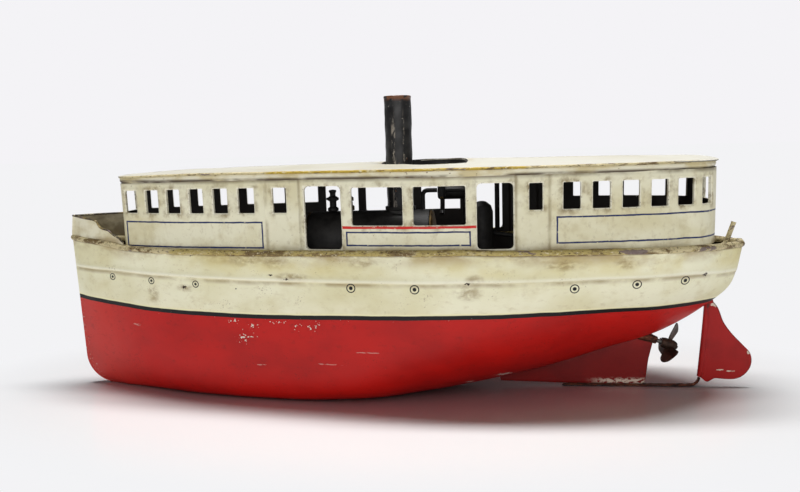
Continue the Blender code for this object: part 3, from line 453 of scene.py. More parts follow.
def cabin_paint():
    p = Paint("cabin_enamel")
    run = p.attribute("run")
    opening = p.attribute("opening")
    broad = p.noise(30, 5.0, 6, (1.4, 1, 1))
    cloud = p.noise(8, 5.0, 7)
    grime = p.noise(3.0, 5.0, 33, (1, 1, 1.4), 0.65)
    cream = p.mix(p.step(broad, 0.38, 0.68), rgb(232, 228, 200), rgb(216, 208, 170))
    cream = p.over(cream, (192, 178, 132), p.step(cloud, 0.48, 0.76), 0.45)
    cream = p.over(cream, (160, 142, 100), p.step(grime, 0.52, 0.74), 0.34)
    soot = p.times(p.step(opening, 4.0, 0.3), p.step(cloud, 0.4, 0.66), p.step(grime, 0.3, 0.6), 0.75)
    cream = p.over(cream, (126, 104, 66), soot)
    foot = p.times(p.step(p.z, 92.5, 88.0), p.step(p.noise(12, 4.0, 9, (2, 1, 1)), 0.3, 0.7), 0.62)
    cream = p.over(cream, (136, 108, 58), foot)
    head = p.times(p.step(p.z, 124.6, 127.0), p.step(p.noise(10, 4.0, 10, (2, 1, 1)), 0.25, 0.6), 0.75)
    cream = p.over(cream, (84, 66, 40), head)
    seam = p.step(p.attribute("seam"), 1.5, 0.1)
    cream = p.over(cream, (118, 96, 60), seam, p.step(p.noise(7, 3.0, 3, (1, 1, 2)), 0.3, 0.6), 0.5)
    cream = p.over(cream, (130, 104, 66), p.speckle(1.0, 0.12, 2), 0.55)

    wobble = p.times(p.less(p.noise(7, 2.0, 16), 0.5), 0.5)
    width = p.plus(0.42, p.times(p.less(p.noise(4, 2.0, 17), 0.45), 0.3))

    def box_line(s0, s1, z0, z1):
        ds = p.less(p.math("ABSOLUTE", p.less(run, (s0 + s1) / 2)), (s1 - s0) / 2)
        dz = p.less(p.math("ABSOLUTE", p.less(p.z, (z0 + z1) / 2)), (z1 - z0) / 2)
        rim = p.math("ABSOLUTE", p.plus(p.most(ds, dz), wobble))
        return p.step(p.less(rim, width), 0.12, -0.12)

    boxes = p.most(box_line(s_of_x(-154.6), s_of_x(-66.8), 89.5, 103.7),
                   box_line(s_of_x(-18.0), s_of_x(48.0), 91.3, 98.3),
                   box_line(s_of_x(92.8), RUN_END + 40, 91.4, 104.8))
    worn = p.step(p.noise(1.6, 3.0, 18), 0.24, 0.38)
    colour = p.over(cream, (24, 38, 88), boxes, worn)
    streak = p.step(p.math("ABSOLUTE", p.plus(p.less(p.z, 100.9), wobble)), 0.85, 0.6)
    inside_run = p.times(p.math("GREATER_THAN", run, s_of_x(-20.5)), p.math("LESS_THAN", run, s_of_x(51.6)))
    colour = p.over(colour, (205, 34, 26), streak, inside_run, p.step(p.noise(1.8, 3.0, 19), 0.24, 0.36))
    fine = p.noise(1.4, 4.0, 25, roughness=0.65)
    # A lighter rim round each opening's folded edge: a painted highlight.
    folded = p.step(opening, 0.75, 0.25)
    colour = p.over(colour, (240, 236, 216), folded, p.step(grime, 0.62, 0.5), 0.7)
    edge = p.times(p.step(fine, 0.6, 0.66), p.step(opening, 0.9, 0.3))
    colour = p.over(colour, (70, 50, 28), edge, 0.8)
    # The inner face is painted near black: painted shade for the dim inside of the cabin.
    colour = p.over(colour, (44, 35, 29), p.attribute("inside"))
    relief = p.less(p.times(p.noise(2.0, 3.0, 14), 0.35), p.times(edge, 0.6))
    return p.finish(colour, p.plus(0.34, p.times(cloud, 0.25)), 0.0, relief, 0.1, 0.1)


def bulwark_paint():
    p = Paint("bulwark_enamel")
    cloud = p.noise(10, 5.0, 6, (1.4, 1, 1))
    cream = p.mix(p.step(cloud, 0.42, 0.72), rgb(230, 224, 196), rgb(200, 188, 148))
    cream = p.over(cream, (140, 112, 62), p.step(p.z, 95.5, 92.5), p.step(cloud, 0.35, 0.6), 0.5)
    lining = p.mix(p.step(cloud, 0.4, 0.65), rgb(150, 140, 112), rgb(108, 96, 70))
    colour = p.mix(p.attribute("inside"), cream, lining)
    return p.finish(colour, 0.42, 0.0, p.noise(2, 3.0), 0.1, 0.1)


def cornice_paint():
    p = Paint("cornice_enamel")
    cloud = p.noise(9, 5.0, 4, (1.8, 1, 1))
    cream = p.mix(p.step(cloud, 0.4, 0.66), rgb(228, 222, 196), rgb(204, 190, 146))
    # The lower slope of the moulding, under its bulge, is darkened in patches.
    under_bulge = p.times(p.step(p.z, 129.0, 127.3), p.step(p.noise(13, 4.0, 5, (2, 1, 1)), 0.28, 0.55))
    colour = p.over(cream, (60, 44, 26), under_bulge, 0.95)
    worn = p.times(p.speckle(1.6, 0.17, 8, (2, 1, 1)), 0.8)
    colour = p.over(colour, (116, 86, 44), worn)
    return p.finish(colour, 0.4, 0.0, p.noise(2.0, 3.0), 0.08, 0.1)


def roof_paint():
    p = Paint("roof_enamel")
    broad = p.noise(50, 5.0, 2, (1.5, 1, 1))
    white = p.mix(p.step(broad, 0.4, 0.7), rgb(206, 203, 190), rgb(194, 188, 168))
    white = p.over(white, (150, 124, 84), p.speckle(1.2, 0.1, 3), 0.5)
    ring = p.times(p.step(p.attribute("slot"), 7.0, 0.0), p.step(p.noise(9, 4.0, 6), 0.35, 0.65))
    white = p.over(white, (176, 158, 118), ring, 0.55)
    scuffs = p.times(p.step(p.noise(3.0, 5.0, 11, (5, 1, 1), 0.7), 0.64, 0.68), 0.6)
    white = p.over(white, (190, 176, 140), scuffs)
    # The underside is painted near black: painted shade for the dim inside of the cabin.
    white = p.over(white, (38, 31, 26), p.attribute("inside"))
    return p.finish(white, 0.5, 0.0, p.noise(3.0, 3.0), 0.08, 0.02)


def worn_gold(name, gold, dark, share, seed, ends):
    """Old gold lacquer with bare and dirty patches. Beyond the two ends it has worn through to dull cream."""
    p = Paint(name)
    cloud = p.noise(5, 6.0, seed, (3.0, 1, 1), 0.7)
    fine = p.noise(1.1, 4.0, seed + 3, (1.8, 1, 1), 0.7)
    faded = p.most(p.step(p.x, ends[0] + 25, ends[0] - 25), p.step(p.x, ends[1] - 25, ends[1] + 25))
    patchy = p.step(p.plus(p.noise(9, 5.0, seed + 9, (2.5, 1, 1)), p.times(faded, 0.3)), 0.58, 0.7)
    colour = p.over(gold, (200, 186, 144), patchy)
    colour = p.mix(p.step(cloud, share - 0.04, share + 0.08), colour, dark)
    colour = p.over(colour, (214, 204, 168), p.step(fine, 0.59, 0.64))
    colour = p.over(colour, (62, 48, 32), p.step(fine, 0.43, 0.37), 0.85)
    bare = p.times(p.step(p.noise(8, 4.0, seed + 12, (3.5, 1, 1)), 0.63, 0.66), p.step(fine, 0.34, 0.42))
    colour = p.over(colour, (112, 96, 98), bare, 0.85)
    return p.finish(colour, p.plus(0.4, p.times(fine, 0.3)), 0.12, fine, 0.22)


def stack_paint():
    p = Paint("stack_enamel")
    cloud = p.noise(9, 5.0, 5, (1, 1, 2.5))
    streaks = p.noise(1.7, 5.0, 9, (1, 1, 3.2), 0.7)
    black = p.mix(p.step(cloud, 0.4, 0.75), rgb(12, 12, 14), rgb(30, 28, 27))
    angle = p.math("ARCTAN2", p.y, p.less(p.x, STACK_X))
    lit = p.times(p.step(angle, -2.06, -1.94), p.step(angle, -1.66, -1.78))
    lit = p.most(lit, p.times(p.step(angle, -1.16, -1.1), p.step(angle, -0.98, -1.04)))
    lit = p.most(lit, p.times(p.step(angle, 1.2, 1.4), p.step(angle, 1.9, 1.7)))
    band = p.times(lit, p.step(streaks, 0.5, 0.58), p.step(p.z, 166.0, 146.0))
    black = p.over(black, (178, 168, 154), band, 0.7)
    top = p.step(p.z, 168.0, 170.6)
    rust = p.most(p.times(p.step(p.noise(5, 4.0, 3), 0.44, 0.5), top),
                  p.step(p.noise(4.5, 5.0, 15, (1, 1, 1.6)), 0.66, 0.7))
    black = p.over(black, (108, 66, 38), rust)
    spots = p.step(p.noise(1.3, 3.0, 27, (1, 1, 1.4), 0.6), 0.7, 0.73)
    black = p.over(black, (196, 188, 176), spots)
    return p.finish(black, 0.38, 0.0, streaks, 0.16, 0.2)


def red_paint():
    p = Paint("red_enamel")
    broad = p.noise(22, 5.0, 2)
    fine = p.noise(1.6, 4.0, 5, (1.4, 1, 1), 0.65)
    red = p.mix(p.step(broad, 0.4, 0.7), rgb(164, 12, 8), rgb(138, 9, 6))
    # Darker red low on the skeg, forward of the stern post: painted shade under the hull.
    red = p.over(red, (84, 8, 6), p.step(p.x, 156, 152), p.step(p.z, 34.0, 20.0), 0.6)
    red = p.over(red, (62, 14, 12), p.speckle(1.1, 0.12, 7), 0.6)
    foot = p.times(p.step(p.z, 5.6, 3.2), p.step(p.x, 112, 128), p.math("LESS_THAN", p.x, 160.0),
                   p.step(fine, 0.44, 0.52))
    places = [(185.5, 48.6, 3.2, 1.8), (204.6, 21.0, 1.2, 2.4), (195, 9.3, 3.5, 0.5), (189, 10.0, 2.5, 0.5)]
    torn = p.most(foot, chips(p, places, fine, 0.3))
    colour = p.over(red, (214, 196, 178), torn)
    edge = p.times(p.step(p.attribute("edge"), 0.9, 0.2), p.step(fine, 0.4, 0.55))
    colour = p.over(colour, (66, 32, 24), edge, 0.8)
    return p.finish(colour, p.plus(0.42, p.times(broad, 0.2)), 0.0, fine, 0.1, 0.02)


def rust_paint():
    p = Paint("rusted_strip")
    fine = p.noise(2.2, 6.0, 4, (1.8, 1, 1), 0.7)
    colour = p.mix(p.step(fine, 0.38, 0.62), rgb(46, 26, 20), rgb(104, 56, 36))
    colour = p.over(colour, (150, 106, 80), p.step(fine, 0.6, 0.66))
    return p.finish(colour, 0.7, 0.25, fine, 0.35)


def metal(name, light, dark, roughness, metallic, seed=1.0, spots=0.12, size=6.0):
    p = Paint(name)
    cloud = p.noise(size, 5.0, seed, roughness=0.6)
    fine = p.noise(size / 5, 4.0, seed + 2, roughness=0.65)
    colour = p.mix(p.step(cloud, 0.38, 0.68), light, dark)
    colour = p.mix(p.times(p.speckle(1.0, spots, seed + 4), 0.7), colour, tuple(v * 0.35 for v in dark))
    rough = p.plus(roughness - 0.08, p.times(fine, 0.28))
    return p.finish(colour, rough, metallic, fine, 0.08)


# ---------------------------------------------------------------- mesh helpers


def grid_faces(rows, columns, close_rows=False, close_columns=False, start=0, flip=False):
    faces = []
    for i in range(rows if close_rows else rows - 1):
        for j in range(columns if close_columns else columns - 1):
            a = start + i * columns + j
            b = start + i * columns + (j + 1) % columns
            c = start + ((i + 1) % rows) * columns + (j + 1) % columns
            d = start + ((i + 1) % rows) * columns + j
            faces.append((a, d, c, b) if flip else (a, b, c, d))
    return faces


def sheet_faces(rows, columns):
    """A two-sided grid sheet closed along its four edges; the second side's points follow the first's."""
    half = rows * columns
    faces = grid_faces(rows, columns) + grid_faces(rows, columns, start=half, flip=True)
    for i in range(rows - 1):
        for j in (0, columns - 1):
            a = i * columns + j
            faces.append((a, a + columns, half + a + columns, half + a))
    for j in range(columns - 1):
        for i in (0, rows - 1):
            a = i * columns + j
            faces.append((a, a + 1, half + a + 1, half + a))
    return faces


def piece(name, points, faces, finish, body, replaced=None, attributes=None, sharp=40.0, slot=None):
    """A visible piece from points in millimetres, riding on its body and standing for its CAD node."""
    mesh = bpy.data.meshes.new(name)
    mesh.from_pydata(((np.asarray(points, float) - (MIDDLE_STATION, 0, 0)) * MM).tolist(), [], faces)
    for key, values in (attributes or {}).items():
        layer = mesh.attributes.new(key, "FLOAT", "POINT")
        layer.data.foreach_set("value", np.asarray(values, np.float32).ravel())
    work = bmesh.new()
    work.from_mesh(mesh)
    bmesh.ops.recalc_face_normals(work, faces=work.faces)
    work.to_mesh(mesh)
    work.free()
    mesh.materials.append(finish)
    mesh.polygons.foreach_set("use_smooth", [True] * len(mesh.polygons))
    mesh.set_sharp_from_angle(angle=math.radians(sharp))
    obj = bpy.data.objects.new(name, mesh)
    bpy.context.scene.collection.objects.link(obj)
    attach(obj, body)
    if replaced:
        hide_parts(replaced)
        slot = slot or SLOTS[finish.name.split(".")[0]]
    return obj


def soften(profile, radius=0.25):
    """The profile with each corner that has room rounded by two points."""
    made = []
    for i, here in enumerate(profile):
        here = np.array(here, float)
        if i in (0, len(profile) - 1) or here[0] == 0:
            made.append(tuple(here))
            continue
        before = np.array(profile[i - 1], float) - here
        after = np.array(profile[i + 1], float) - here
        room = min(radius, 0.3 * np.hypot(*before), 0.3 * np.hypot(*after))
        start = here + before / np.hypot(*before) * room
        end = here + after / np.hypot(*after) * room
        made += [tuple(start), tuple((start + end + 2 * here) / 4), tuple(end)]
    return made


def rod(radius, length):
    return [(0, 0), (radius, 0), (radius, length), (0, length)]


def tube(bore, radius, length):
    return [(bore, 0), (radius, 0), (radius, length), (bore, length)]


def turned(name, base, axis, profile, finish, body, replaced=None, sides=64, dents=0.0, slot=None):
    """A turned or spun body: the (radius, height) profile spun about the axis from base.

    A profile that starts off the axis closes on itself, and leaves a bore.
    """
    closed = profile[0][0] > 0
    base = Vector(base)
    axis = Vector(axis).normalized()
    side = axis.orthogonal().normalized()
    other = axis.cross(side)
    if closed:
        profile = soften([profile[-1], *profile, profile[0]])[1:-1]
    else:
        profile = soften(profile)
    points = []
    rings = []
    for radius, height in profile:
        centre = base + axis * height
        if radius == 0:
            rings.append([len(points)] * sides)
            points.append(centre)
            continue
        rings.append(list(range(len(points), len(points) + sides)))
        for k in range(sides):
            turn = 2 * math.pi * k / sides
            out = side * math.cos(turn) + other * math.sin(turn)
            swell = radius + dents * noise.noise((centre + out * radius) / 6)
            points.append(centre + out * swell)
    faces = []
    for i in range(len(rings) if closed else len(rings) - 1):
        low = rings[i]
        high = rings[(i + 1) % len(rings)]
        for k in range(sides):
            beside = (k + 1) % sides
            faces.append(tuple(dict.fromkeys((low[k], low[beside], high[beside], high[k]))))
    return piece(name, points, faces, finish, body, replaced, slot=slot)


def swept(name, path, profile, finish, body, replaced=None, closed=True, rough=0.0, slot=None):
    """A level moulding: the (out, up) profile carried along the path; out is away from the centre."""
    path = np.array(path, float)
    if closed:
        along = np.roll(path, -1, 0) - np.roll(path, 1, 0)
    else:
        along = np.gradient(path, axis=0)
    along[:, 2] = 0
    along /= np.linalg.norm(along, axis=1)[:, None]
    out = np.stack([along[:, 1], -along[:, 0], np.zeros(len(path))], 1)
    points = []
    for here, away in zip(path, out):
        for u, v in profile:
            points.append(here + away * u + np.array((0, 0, v)))
    if rough:
        points = np.array(points)
        jitter = wander(points, 3.0, rough) + wander(points, 11.0, rough * 1.5, 4)
        middle = np.repeat(path, len(profile), 0)
        radial = points - middle
        radial /= np.maximum(np.linalg.norm(radial, axis=1), 1e-6)[:, None]
        points = points + radial * jitter[:, None]
    faces = grid_faces(len(path), len(profile), closed, True)
    if not closed:
        last = (len(path) - 1) * len(profile)
        faces.append(tuple(range(len(profile))))
        faces.append(tuple(range(last, last + len(profile))))
    return piece(name, points, faces, finish, body, replaced, slot=slot)


def bent_pipe(name, corners, radius, finish, body, replaced=None, slot=None):
    """A round pipe through the corners, its bends eased."""
    corners = [Vector(c) for c in corners]
    path = [corners[0]]
    for i in range(1, len(corners) - 1):
        here = corners[i]
        reach = min(4.0, 0.4 * (corners[i - 1] - here).length, 0.4 * (corners[i + 1] - here).length)
        start = here + (corners[i - 1] - here).normalized() * reach
        end = here + (corners[i + 1] - here).normalized() * reach
        for t in np.linspace(0, 1, 7):
            path.append(start * (1 - t) ** 2 + here * 2 * t * (1 - t) + end * t**2)
    path.append(corners[-1])
    points = []
    side = None
    sides = 20
    for i, here in enumerate(path):
        along = (path[min(i + 1, len(path) - 1)] - path[max(i - 1, 0)]).normalized()
        side = along.orthogonal() if side is None else side - along * side.dot(along)
        side = side.normalized()
        other = along.cross(side)
        for k in range(sides):
            turn = 2 * math.pi * k / sides
            points.append(here + (side * math.cos(turn) + other * math.sin(turn)) * radius)
    faces = grid_faces(len(path), sides, False, True)
    faces += [tuple(range(sides)), tuple(range(len(points) - sides, len(points)))]
    return piece(name, points, faces, finish, body, replaced, slot=slot)


def oval(half_width, half_height, count=14):
    turns = np.linspace(0, 2 * math.pi, count, endpoint=False)
    return [(half_width * math.cos(t), half_height * math.sin(t)) for t in turns]


# ---------------------------------------------------------------- hull


def rim_height(x):
    return curve(RIM_TOP, x)


def hull_skin(side, name, replaced, finish):
    """One pressed half of the hull as a dense sheet with the step, slight dents and an inside painted dark as
    shade.
    """
    xs = np.r_[np.linspace(-198.5, -182, 16), np.linspace(-180, 180, 150), np.linspace(181, 199.0, 26)]
    beam = curve(HALF_BEAM, xs)
    keel = curve(KEEL_HEIGHT, xs)
    top = rim_height(xs) - 2.6
    power = curve(FULLNESS, xs)
    knee = 2.0 ** (-1 / power)
    step_z = curve(STEP_LINE, xs)
    step_v = np.minimum((top - step_z) / (top - keel), 0.55)
    band = 1.1 / (top - keel)
    columns = [step_v * s for s in np.linspace(0, 0.86, 7)]
    columns += [step_v + band * s for s in np.linspace(-1.2, 1.2, 9)]
    lower_start = step_v + band * 1.2
    columns += [lower_start + (knee - lower_start) * s for s in np.linspace(0.04, 1, 40)]
    across = [(knee * (1 - s)) for s in np.linspace(0.045, 1, 30)]
    v = np.stack(columns + [(1 - w**power) ** (1 / power) for w in across], 1)
    upper = [np.maximum(1 - np.maximum(c, 0) ** power, 0) ** (1 / power) for c in columns]
    width = np.stack(upper + across, 1)
    z = top[:, None] - v * (top - keel)[:, None]
    y = beam[:, None] * width
    below = step_z[:, None] - z
    proud = STEP_PROUD * smooth(-below, -0.6, 0.5) + 0.4 * np.exp(-(((below + 1.1) / 0.9) ** 2))
    y = y + proud * smooth(y, 0.5, 3.0)
    z = np.maximum(z, 0.0)
    fade = np.clip((-168 - xs) / 30.5, 0, 1)[:, None]
    low = np.minimum(np.maximum(FOREFOOT_RADIUS - z, 0) / FOREFOOT_RADIUS, 0.97)
    rounding = FOREFOOT_RADIUS * (1 - np.sqrt(1 - low**2))
    x = xs[:, None] + fade * (STEM_RAKE * (1 - z / 92) + rounding)
    floor = 0.05 + 0.75 * np.clip((-180 - xs) / 18.5, 0, 1)[:, None]
    y = np.maximum(y, floor)
    outer = np.stack([x, y, z], 2)
    along = np.gradient(outer, axis=0)
    down = np.gradient(outer, axis=1)
    normal = np.cross(down, along)
    normal /= np.maximum(np.linalg.norm(normal, axis=2), 1e-9)[:, :, None]
    normal[normal[:, :, 1] < 0] *= -1
    normal[:, -1] = (0, 0, -1)
    flat = outer.reshape(-1, 3)
    dents = wander(flat * (1, side, 1), 26, 0.5) + wander(flat * (1, side, 1), 9, 0.12, 3)
    dents = (dents.reshape(y.shape) * smooth(y, 2, 9) * smooth(z, 2, 8))[:, :, None]
    outer = outer + normal * dents
    inner = outer - normal * SHEET
    inner[:, :, 1] = np.maximum(inner[:, :, 1], 0.03)
    rows, count = y.shape
    points = np.concatenate([outer.reshape(-1, 3), inner.reshape(-1, 3)]) * (1, side, 1)
    half = rows * count
    faces = sheet_faces(rows, count)
    level = (z - curve(WATERLINE, xs)[:, None]).ravel()
    step = -below.ravel()
    rim = (top[:, None] - z).ravel()
    stem = (y + 200 * (xs[:, None] > -150)).ravel()
    inside = np.r_[np.zeros(half), np.ones(half)]
    attributes = {"waterline": np.tile(level, 2), "step": np.tile(step, 2), "rim": np.tile(rim, 2),
                  "stem": np.tile(stem, 2), "inside": inside}
    return piece(name, points, faces, finish, "hull", replaced, attributes, 60)


def rim_path(inset, lift, stations):
    half = [(x, max(float(curve(HALF_BEAM, x)) - inset, 0.0), float(rim_height(x)) + lift) for x in stations]
    port = [(x, -y, z) for x, y, z in half]
    return port, half


def gunwale(finish):
    stations = np.r_[np.linspace(-197.5, -180, 10), np.linspace(-177, 176, 130), np.linspace(178, 196.8, 18)]
    port, starboard = rim_path(SHEET, -2.0, stations)
    bow = [(-198.4, 0.0, float(rim_height(-200)) - 2.0)]
    stern = [(197.4, 0.0, float(rim_height(200)) - 1.2)]
    path = bow + port + stern + starboard[::-1]
    profile = oval(2.0, 1.85, 16)
    swept("gunwale_roll", path, profile, finish, "hull", "gunwale_bead", True, 0.14)


def bulwark(side, node, top_of, finish, edge_finish):
    name = node + "_sheet"
    stations = np.linspace(-199.0, -157.4, 64)
    rows = 9
    points = []
    for layer in (0, 1):
        for x in stations:
            beam = max(float(curve(HALF_BEAM, x)) - 0.5, 0.75) - 0.7 * layer
            low = float(rim_height(x)) - 1.0
            high = max(top_of(x), low + 1.2)
            for share in np.linspace(0, 1, rows):
                lean = BOW_LEAN * share * float(smooth(-x, 175, 198))
                points.append((x + lean, side * max(beam + 0.3 * share, 0.05), low + (high - low) * share))
    count = len(stations)
    half = count * rows
    attributes = {"inside": np.r_[np.zeros(half), np.ones(half)], "step": np.full(2 * half, 9.0)}
    piece(name, points, sheet_faces(count, rows), finish, "hull", node, attributes)
    edge = []
    for x in stations:
        beam = max(float(curve(HALF_BEAM, x)) - 0.55, 0.75)
        lean = BOW_LEAN * float(smooth(-x, 175, 198))
        edge.append((x + lean, side * beam, max(top_of(x), float(rim_height(x)) + 0.2)))
    if side < 0:
        edge = edge[::-1]
    swept(name + "_edge", edge, oval(0.75, 0.55, 10), edge_finish, "hull", None, False, 0.06,
          slot="worn_gold")


# ---------------------------------------------------------------- cabin


def outline_points():
    """The cabin's outline on one side, from the nose on the centreline to the tail."""
    nose_half = curve(HALF_BEAM, CABIN_NOSE_X) - CABIN_INSET
    tail_half = curve(HALF_BEAM, CABIN_TAIL_X) - CABIN_INSET
    turn = np.linspace(0, math.pi / 2, 300)
    nose = np.stack([CABIN_NOSE_X - CABIN_NOSE_LENGTH * np.cos(turn), nose_half * np.sin(turn)], 1)
    x = np.linspace(CABIN_NOSE_X, CABIN_TAIL_X, 1500)
    side = np.stack([x, curve(HALF_BEAM, x) - CABIN_INSET], 1)
    tail = np.stack([CABIN_TAIL_X + CABIN_TAIL_LENGTH * np.sin(turn), tail_half * np.cos(turn)], 1)
    return np.concatenate([nose[:-1], side, tail[1:]])


OUTLINE = outline_points()
RUN = np.r_[0, np.cumsum(np.hypot(*np.diff(OUTLINE, axis=0).T))]
RUN_END = float(RUN[-1])


def s_of_x(x):
    side = (OUTLINE[:, 1] > 9) & (OUTLINE[:, 0] > CABIN_NOSE_X - 4)
    return float(np.interp(x, OUTLINE[side, 0], RUN[side]))


def outline_at(s, offset=0.0):
    """Points of the cabin outline at run s, moved out by offset."""
    s = np.asarray(s, float)
    ahead = np.clip(s + 0.6, 0, RUN_END)
    behind = np.clip(s - 0.6, 0, RUN_END)
    dx = np.interp(ahead, RUN, OUTLINE[:, 0]) - np.interp(behind, RUN, OUTLINE[:, 0])
    dy = np.interp(ahead, RUN, OUTLINE[:, 1]) - np.interp(behind, RUN, OUTLINE[:, 1])
    ends = (s < 0.05) | (s > RUN_END - 0.05)
    dx = np.where(ends, 0.0, dx)
    dy = np.where(s < 0.05, 1.0, np.where(s > RUN_END - 0.05, -1.0, dy))
    size = np.hypot(dx, dy)
    x = np.interp(s, RUN, OUTLINE[:, 0]) - offset * dy / size
    y = np.interp(s, RUN, OUTLINE[:, 1]) + offset * dx / size
    return x, np.maximum(y, 0.0)


def openings(side):
    """(start, end, sill, top, corner radius) of each opening, lengths along the wall."""
    windows, wide, doors = FORWARD_WINDOWS + AFT_WINDOWS, WIDE_WINDOWS, DOORS
    if side > 0:
        windows, wide, doors = FAR_WINDOWS, FAR_WIDE_WINDOWS, FAR_DOORS
    found = []
    for ends, sill, top, radius in ((windows, WINDOW_SILL, WINDOW_TOP, 0.7),
                                    (wide, WIDE_SILL, WINDOW_TOP - 0.5, 1.1),
                                    (doors, DOOR_SILL, WINDOW_TOP + 0.5, 2.4)):
        found += [(s_of_x(x0), s_of_x(x1), sill, top, radius) for x0, x1 in ends]
    found.append((-2.0, NOSE_WINDOW_HALF, WINDOW_SILL, WINDOW_TOP, 0.7))
    found.append((RUN_END - TAIL_WINDOW_HALF, RUN_END + 2.0, WINDOW_SILL, WINDOW_TOP, 0.7))
    return found


def droop(x):
    """The roof edge runs down a little towards the bow."""
    return -1.2 * smooth(-np.asarray(x, float), 95, 163)


def cabin_wall(side, name, node, finish):
    holes = openings(side)
    rings = (-1.5, -0.8, -0.3, 0.0, 0.3)
    marks = set()
    levels = set(np.linspace(WALL_FOOT, WALL_TOP, 25))
    for s0, s1, low, high, radius in holes:
        for r in rings:
            marks |= {s0 + r, s1 - r}
            levels |= {low + r, high - r}
        marks |= {s0 + radius, s1 - radius}
        levels |= {low + radius, high - radius}
    seams = [s_of_x(x) for x in PANEL_SEAMS]
    for s in seams:
        marks |= {s - 1.0, s - 0.5, s, s + 0.5, s + 1.0}
    marks |= set(np.linspace(0, RUN_END, 170))
    keep = {0.0, RUN_END} | {min(max(end, 0.0), RUN_END) for h in holes for end in h[:2]}
    keep_z = {WALL_FOOT, WALL_TOP} | {h[2] for h in holes} | {h[3] for h in holes}

    def thin(values, kept, least):
        chosen = sorted(kept)
        for value in sorted(values):
            place = np.searchsorted(chosen, value)
            near = min(abs(value - chosen[k]) for k in (max(place - 1, 0), min(place, len(chosen) - 1)))
            if near > least and chosen[0] < value < chosen[-1]:
                chosen.insert(place, value)
        return np.array(chosen)

    stops = thin(marks, keep, 0.22)
    heights = thin(levels, keep_z, 0.22)
    columns, rows = len(stops), len(heights)
    mid_s = (stops[:-1] + stops[1:]) / 2
    mid_z = (heights[:-1] + heights[1:]) / 2
    solid = np.ones((columns - 1, rows - 1), bool)
    s_grid, z_grid = np.meshgrid(stops, heights, indexing="ij")
    gap = np.full(s_grid.shape, 50.0)
    moved_s = s_grid.copy()
    moved_z = z_grid.copy()
    for s0, s1, low, high, radius in holes:
        solid &= ~((mid_s > s0) & (mid_s < s1))[:, None] | ~((mid_z > low) & (mid_z < high))[None, :]
        ds = np.maximum(s0 - s_grid, s_grid - s1)
        dz = np.maximum(low - z_grid, z_grid - high)
        outside = np.hypot(np.maximum(ds, 0), np.maximum(dz, 0))
        gap = np.minimum(gap, np.where((ds <= 0) & (dz <= 0), 0.0, outside))
        for corner_s, inward_s in ((s0, 1), (s1, -1)):
            for corner_z, inward_z in ((low, 1), (high, -1)):
                u = (s_grid - corner_s) * inward_s
                w = (z_grid - corner_z) * inward_z
                upright = np.abs(u) < TOUCH
                on_edge = upright & (w >= 0) & (w < radius) | (np.abs(w) < TOUCH) & (u >= 0) & (u < radius)
                along = np.where(upright, radius - w, radius + u) / (2 * radius)
                turn = along * math.pi / 2
                moved_s = np.where(on_edge, corner_s + inward_s * radius * (1 - np.cos(turn)), moved_s)
                moved_z = np.where(on_edge, corner_z + inward_z * radius * (1 - np.sin(turn)), moved_z)
    on_rim = gap < TOUCH
    curl = -0.45 * smooth(gap, 0.9, 0.0) + 0.16 * np.exp(-(((gap - 1.0) / 0.5) ** 2))
    panel = np.zeros_like(s_grid)
    for start, end in (seams[:2], seams[2:]):
        panel -= 0.5 * smooth(s_grid, start - 0.5, start + 0.5) * smooth(s_grid, end + 0.5, end - 0.5)
    waves = np.array([noise.noise(Vector((s / 22, z / 22, side * 7.0))) * 0.32 for s, z in
                      zip(s_grid.ravel(), z_grid.ravel())]).reshape(s_grid.shape)
    front = curl + panel + waves
    back = np.where(on_rim, front - 1.5, panel + waves - 0.55)
    points = []
    for offset in (front, back):
        x, y = outline_at(moved_s.ravel(), offset.ravel())
        z = moved_z.ravel() + (droop(x) * smooth(moved_z.ravel(), 112, 127))
        points.append(np.stack([x, y * side, z], 1))
    points = np.concatenate(points)
    half = columns * rows
    faces = []
    for i in range(columns - 1):
        for j in range(rows - 1):
            if not solid[i, j]:
                continue
            a, b, c, d = i * rows + j, (i + 1) * rows + j, (i + 1) * rows + j + 1, i * rows + j + 1
            faces += [(a, b, c, d), (half + a, half + d, half + c, half + b)]
            beside = (((i - 1, j), (d, a)), ((i + 1, j), (b, c)), ((i, j - 1), (a, b)), ((i, j + 1), (c, d)))
            for (k, m), (p, q) in beside:
                if not (0 <= k < columns - 1 and 0 <= m < rows - 1) or not solid[k, m]:
                    faces.append((p, q, half + q, half + p))
    used = np.unique(np.concatenate([np.array(f) for f in faces]))
    renumber = np.full(2 * half, -1)
    renumber[used] = np.arange(len(used))
    faces = [tuple(int(renumber[k]) for k in f) for f in faces]
    seam_gap = np.min([np.abs(s_grid - s) for s in seams], axis=0)
    inside = np.r_[np.zeros(half), np.where(on_rim.ravel(), 0.0, 1.0)]
    attributes = {"run": np.tile(s_grid.ravel(), 2)[used], "opening": np.tile(gap.ravel(), 2)[used],
                  "seam": np.tile(seam_gap.ravel(), 2)[used], "inside": inside[used]}
    piece(name, points[used], faces, finish, "superstructure", node, attributes, 50)


def tuck(x):
    """How far the roof edge draws in towards its two ends."""
    x = np.asarray(x, float)
    return -0.9 * smooth(-x, 140, 160) - 1.5 * smooth(x, 130, 178)


def roof_ring(count=300):
    """The roof edge's path all round the cabin. Its heights are the droop alone."""
    s = np.linspace(0.0, RUN_END, count)
    x, y = outline_at(s, tuck(outline_at(s)[0]))
    level = droop(x)
    port = np.stack([x, -y, level], 1)
    starboard = np.stack([x, y, level], 1)[::-1][1:-1]
    return np.concatenate([port, starboard])


def cornice(finish):
    profile = [(-0.6, 127.0), (0.0, 126.9), (0.25, 127.2), (0.35, 127.6), (0.9, 128.1), (1.15, 128.8),
               (1.15, 129.5), (0.9, 130.1), (0.7, 130.4), (-0.6, 130.4)]
    swept("cornice_moulding", roof_ring(), profile, finish, "superstructure", "cornice_band")


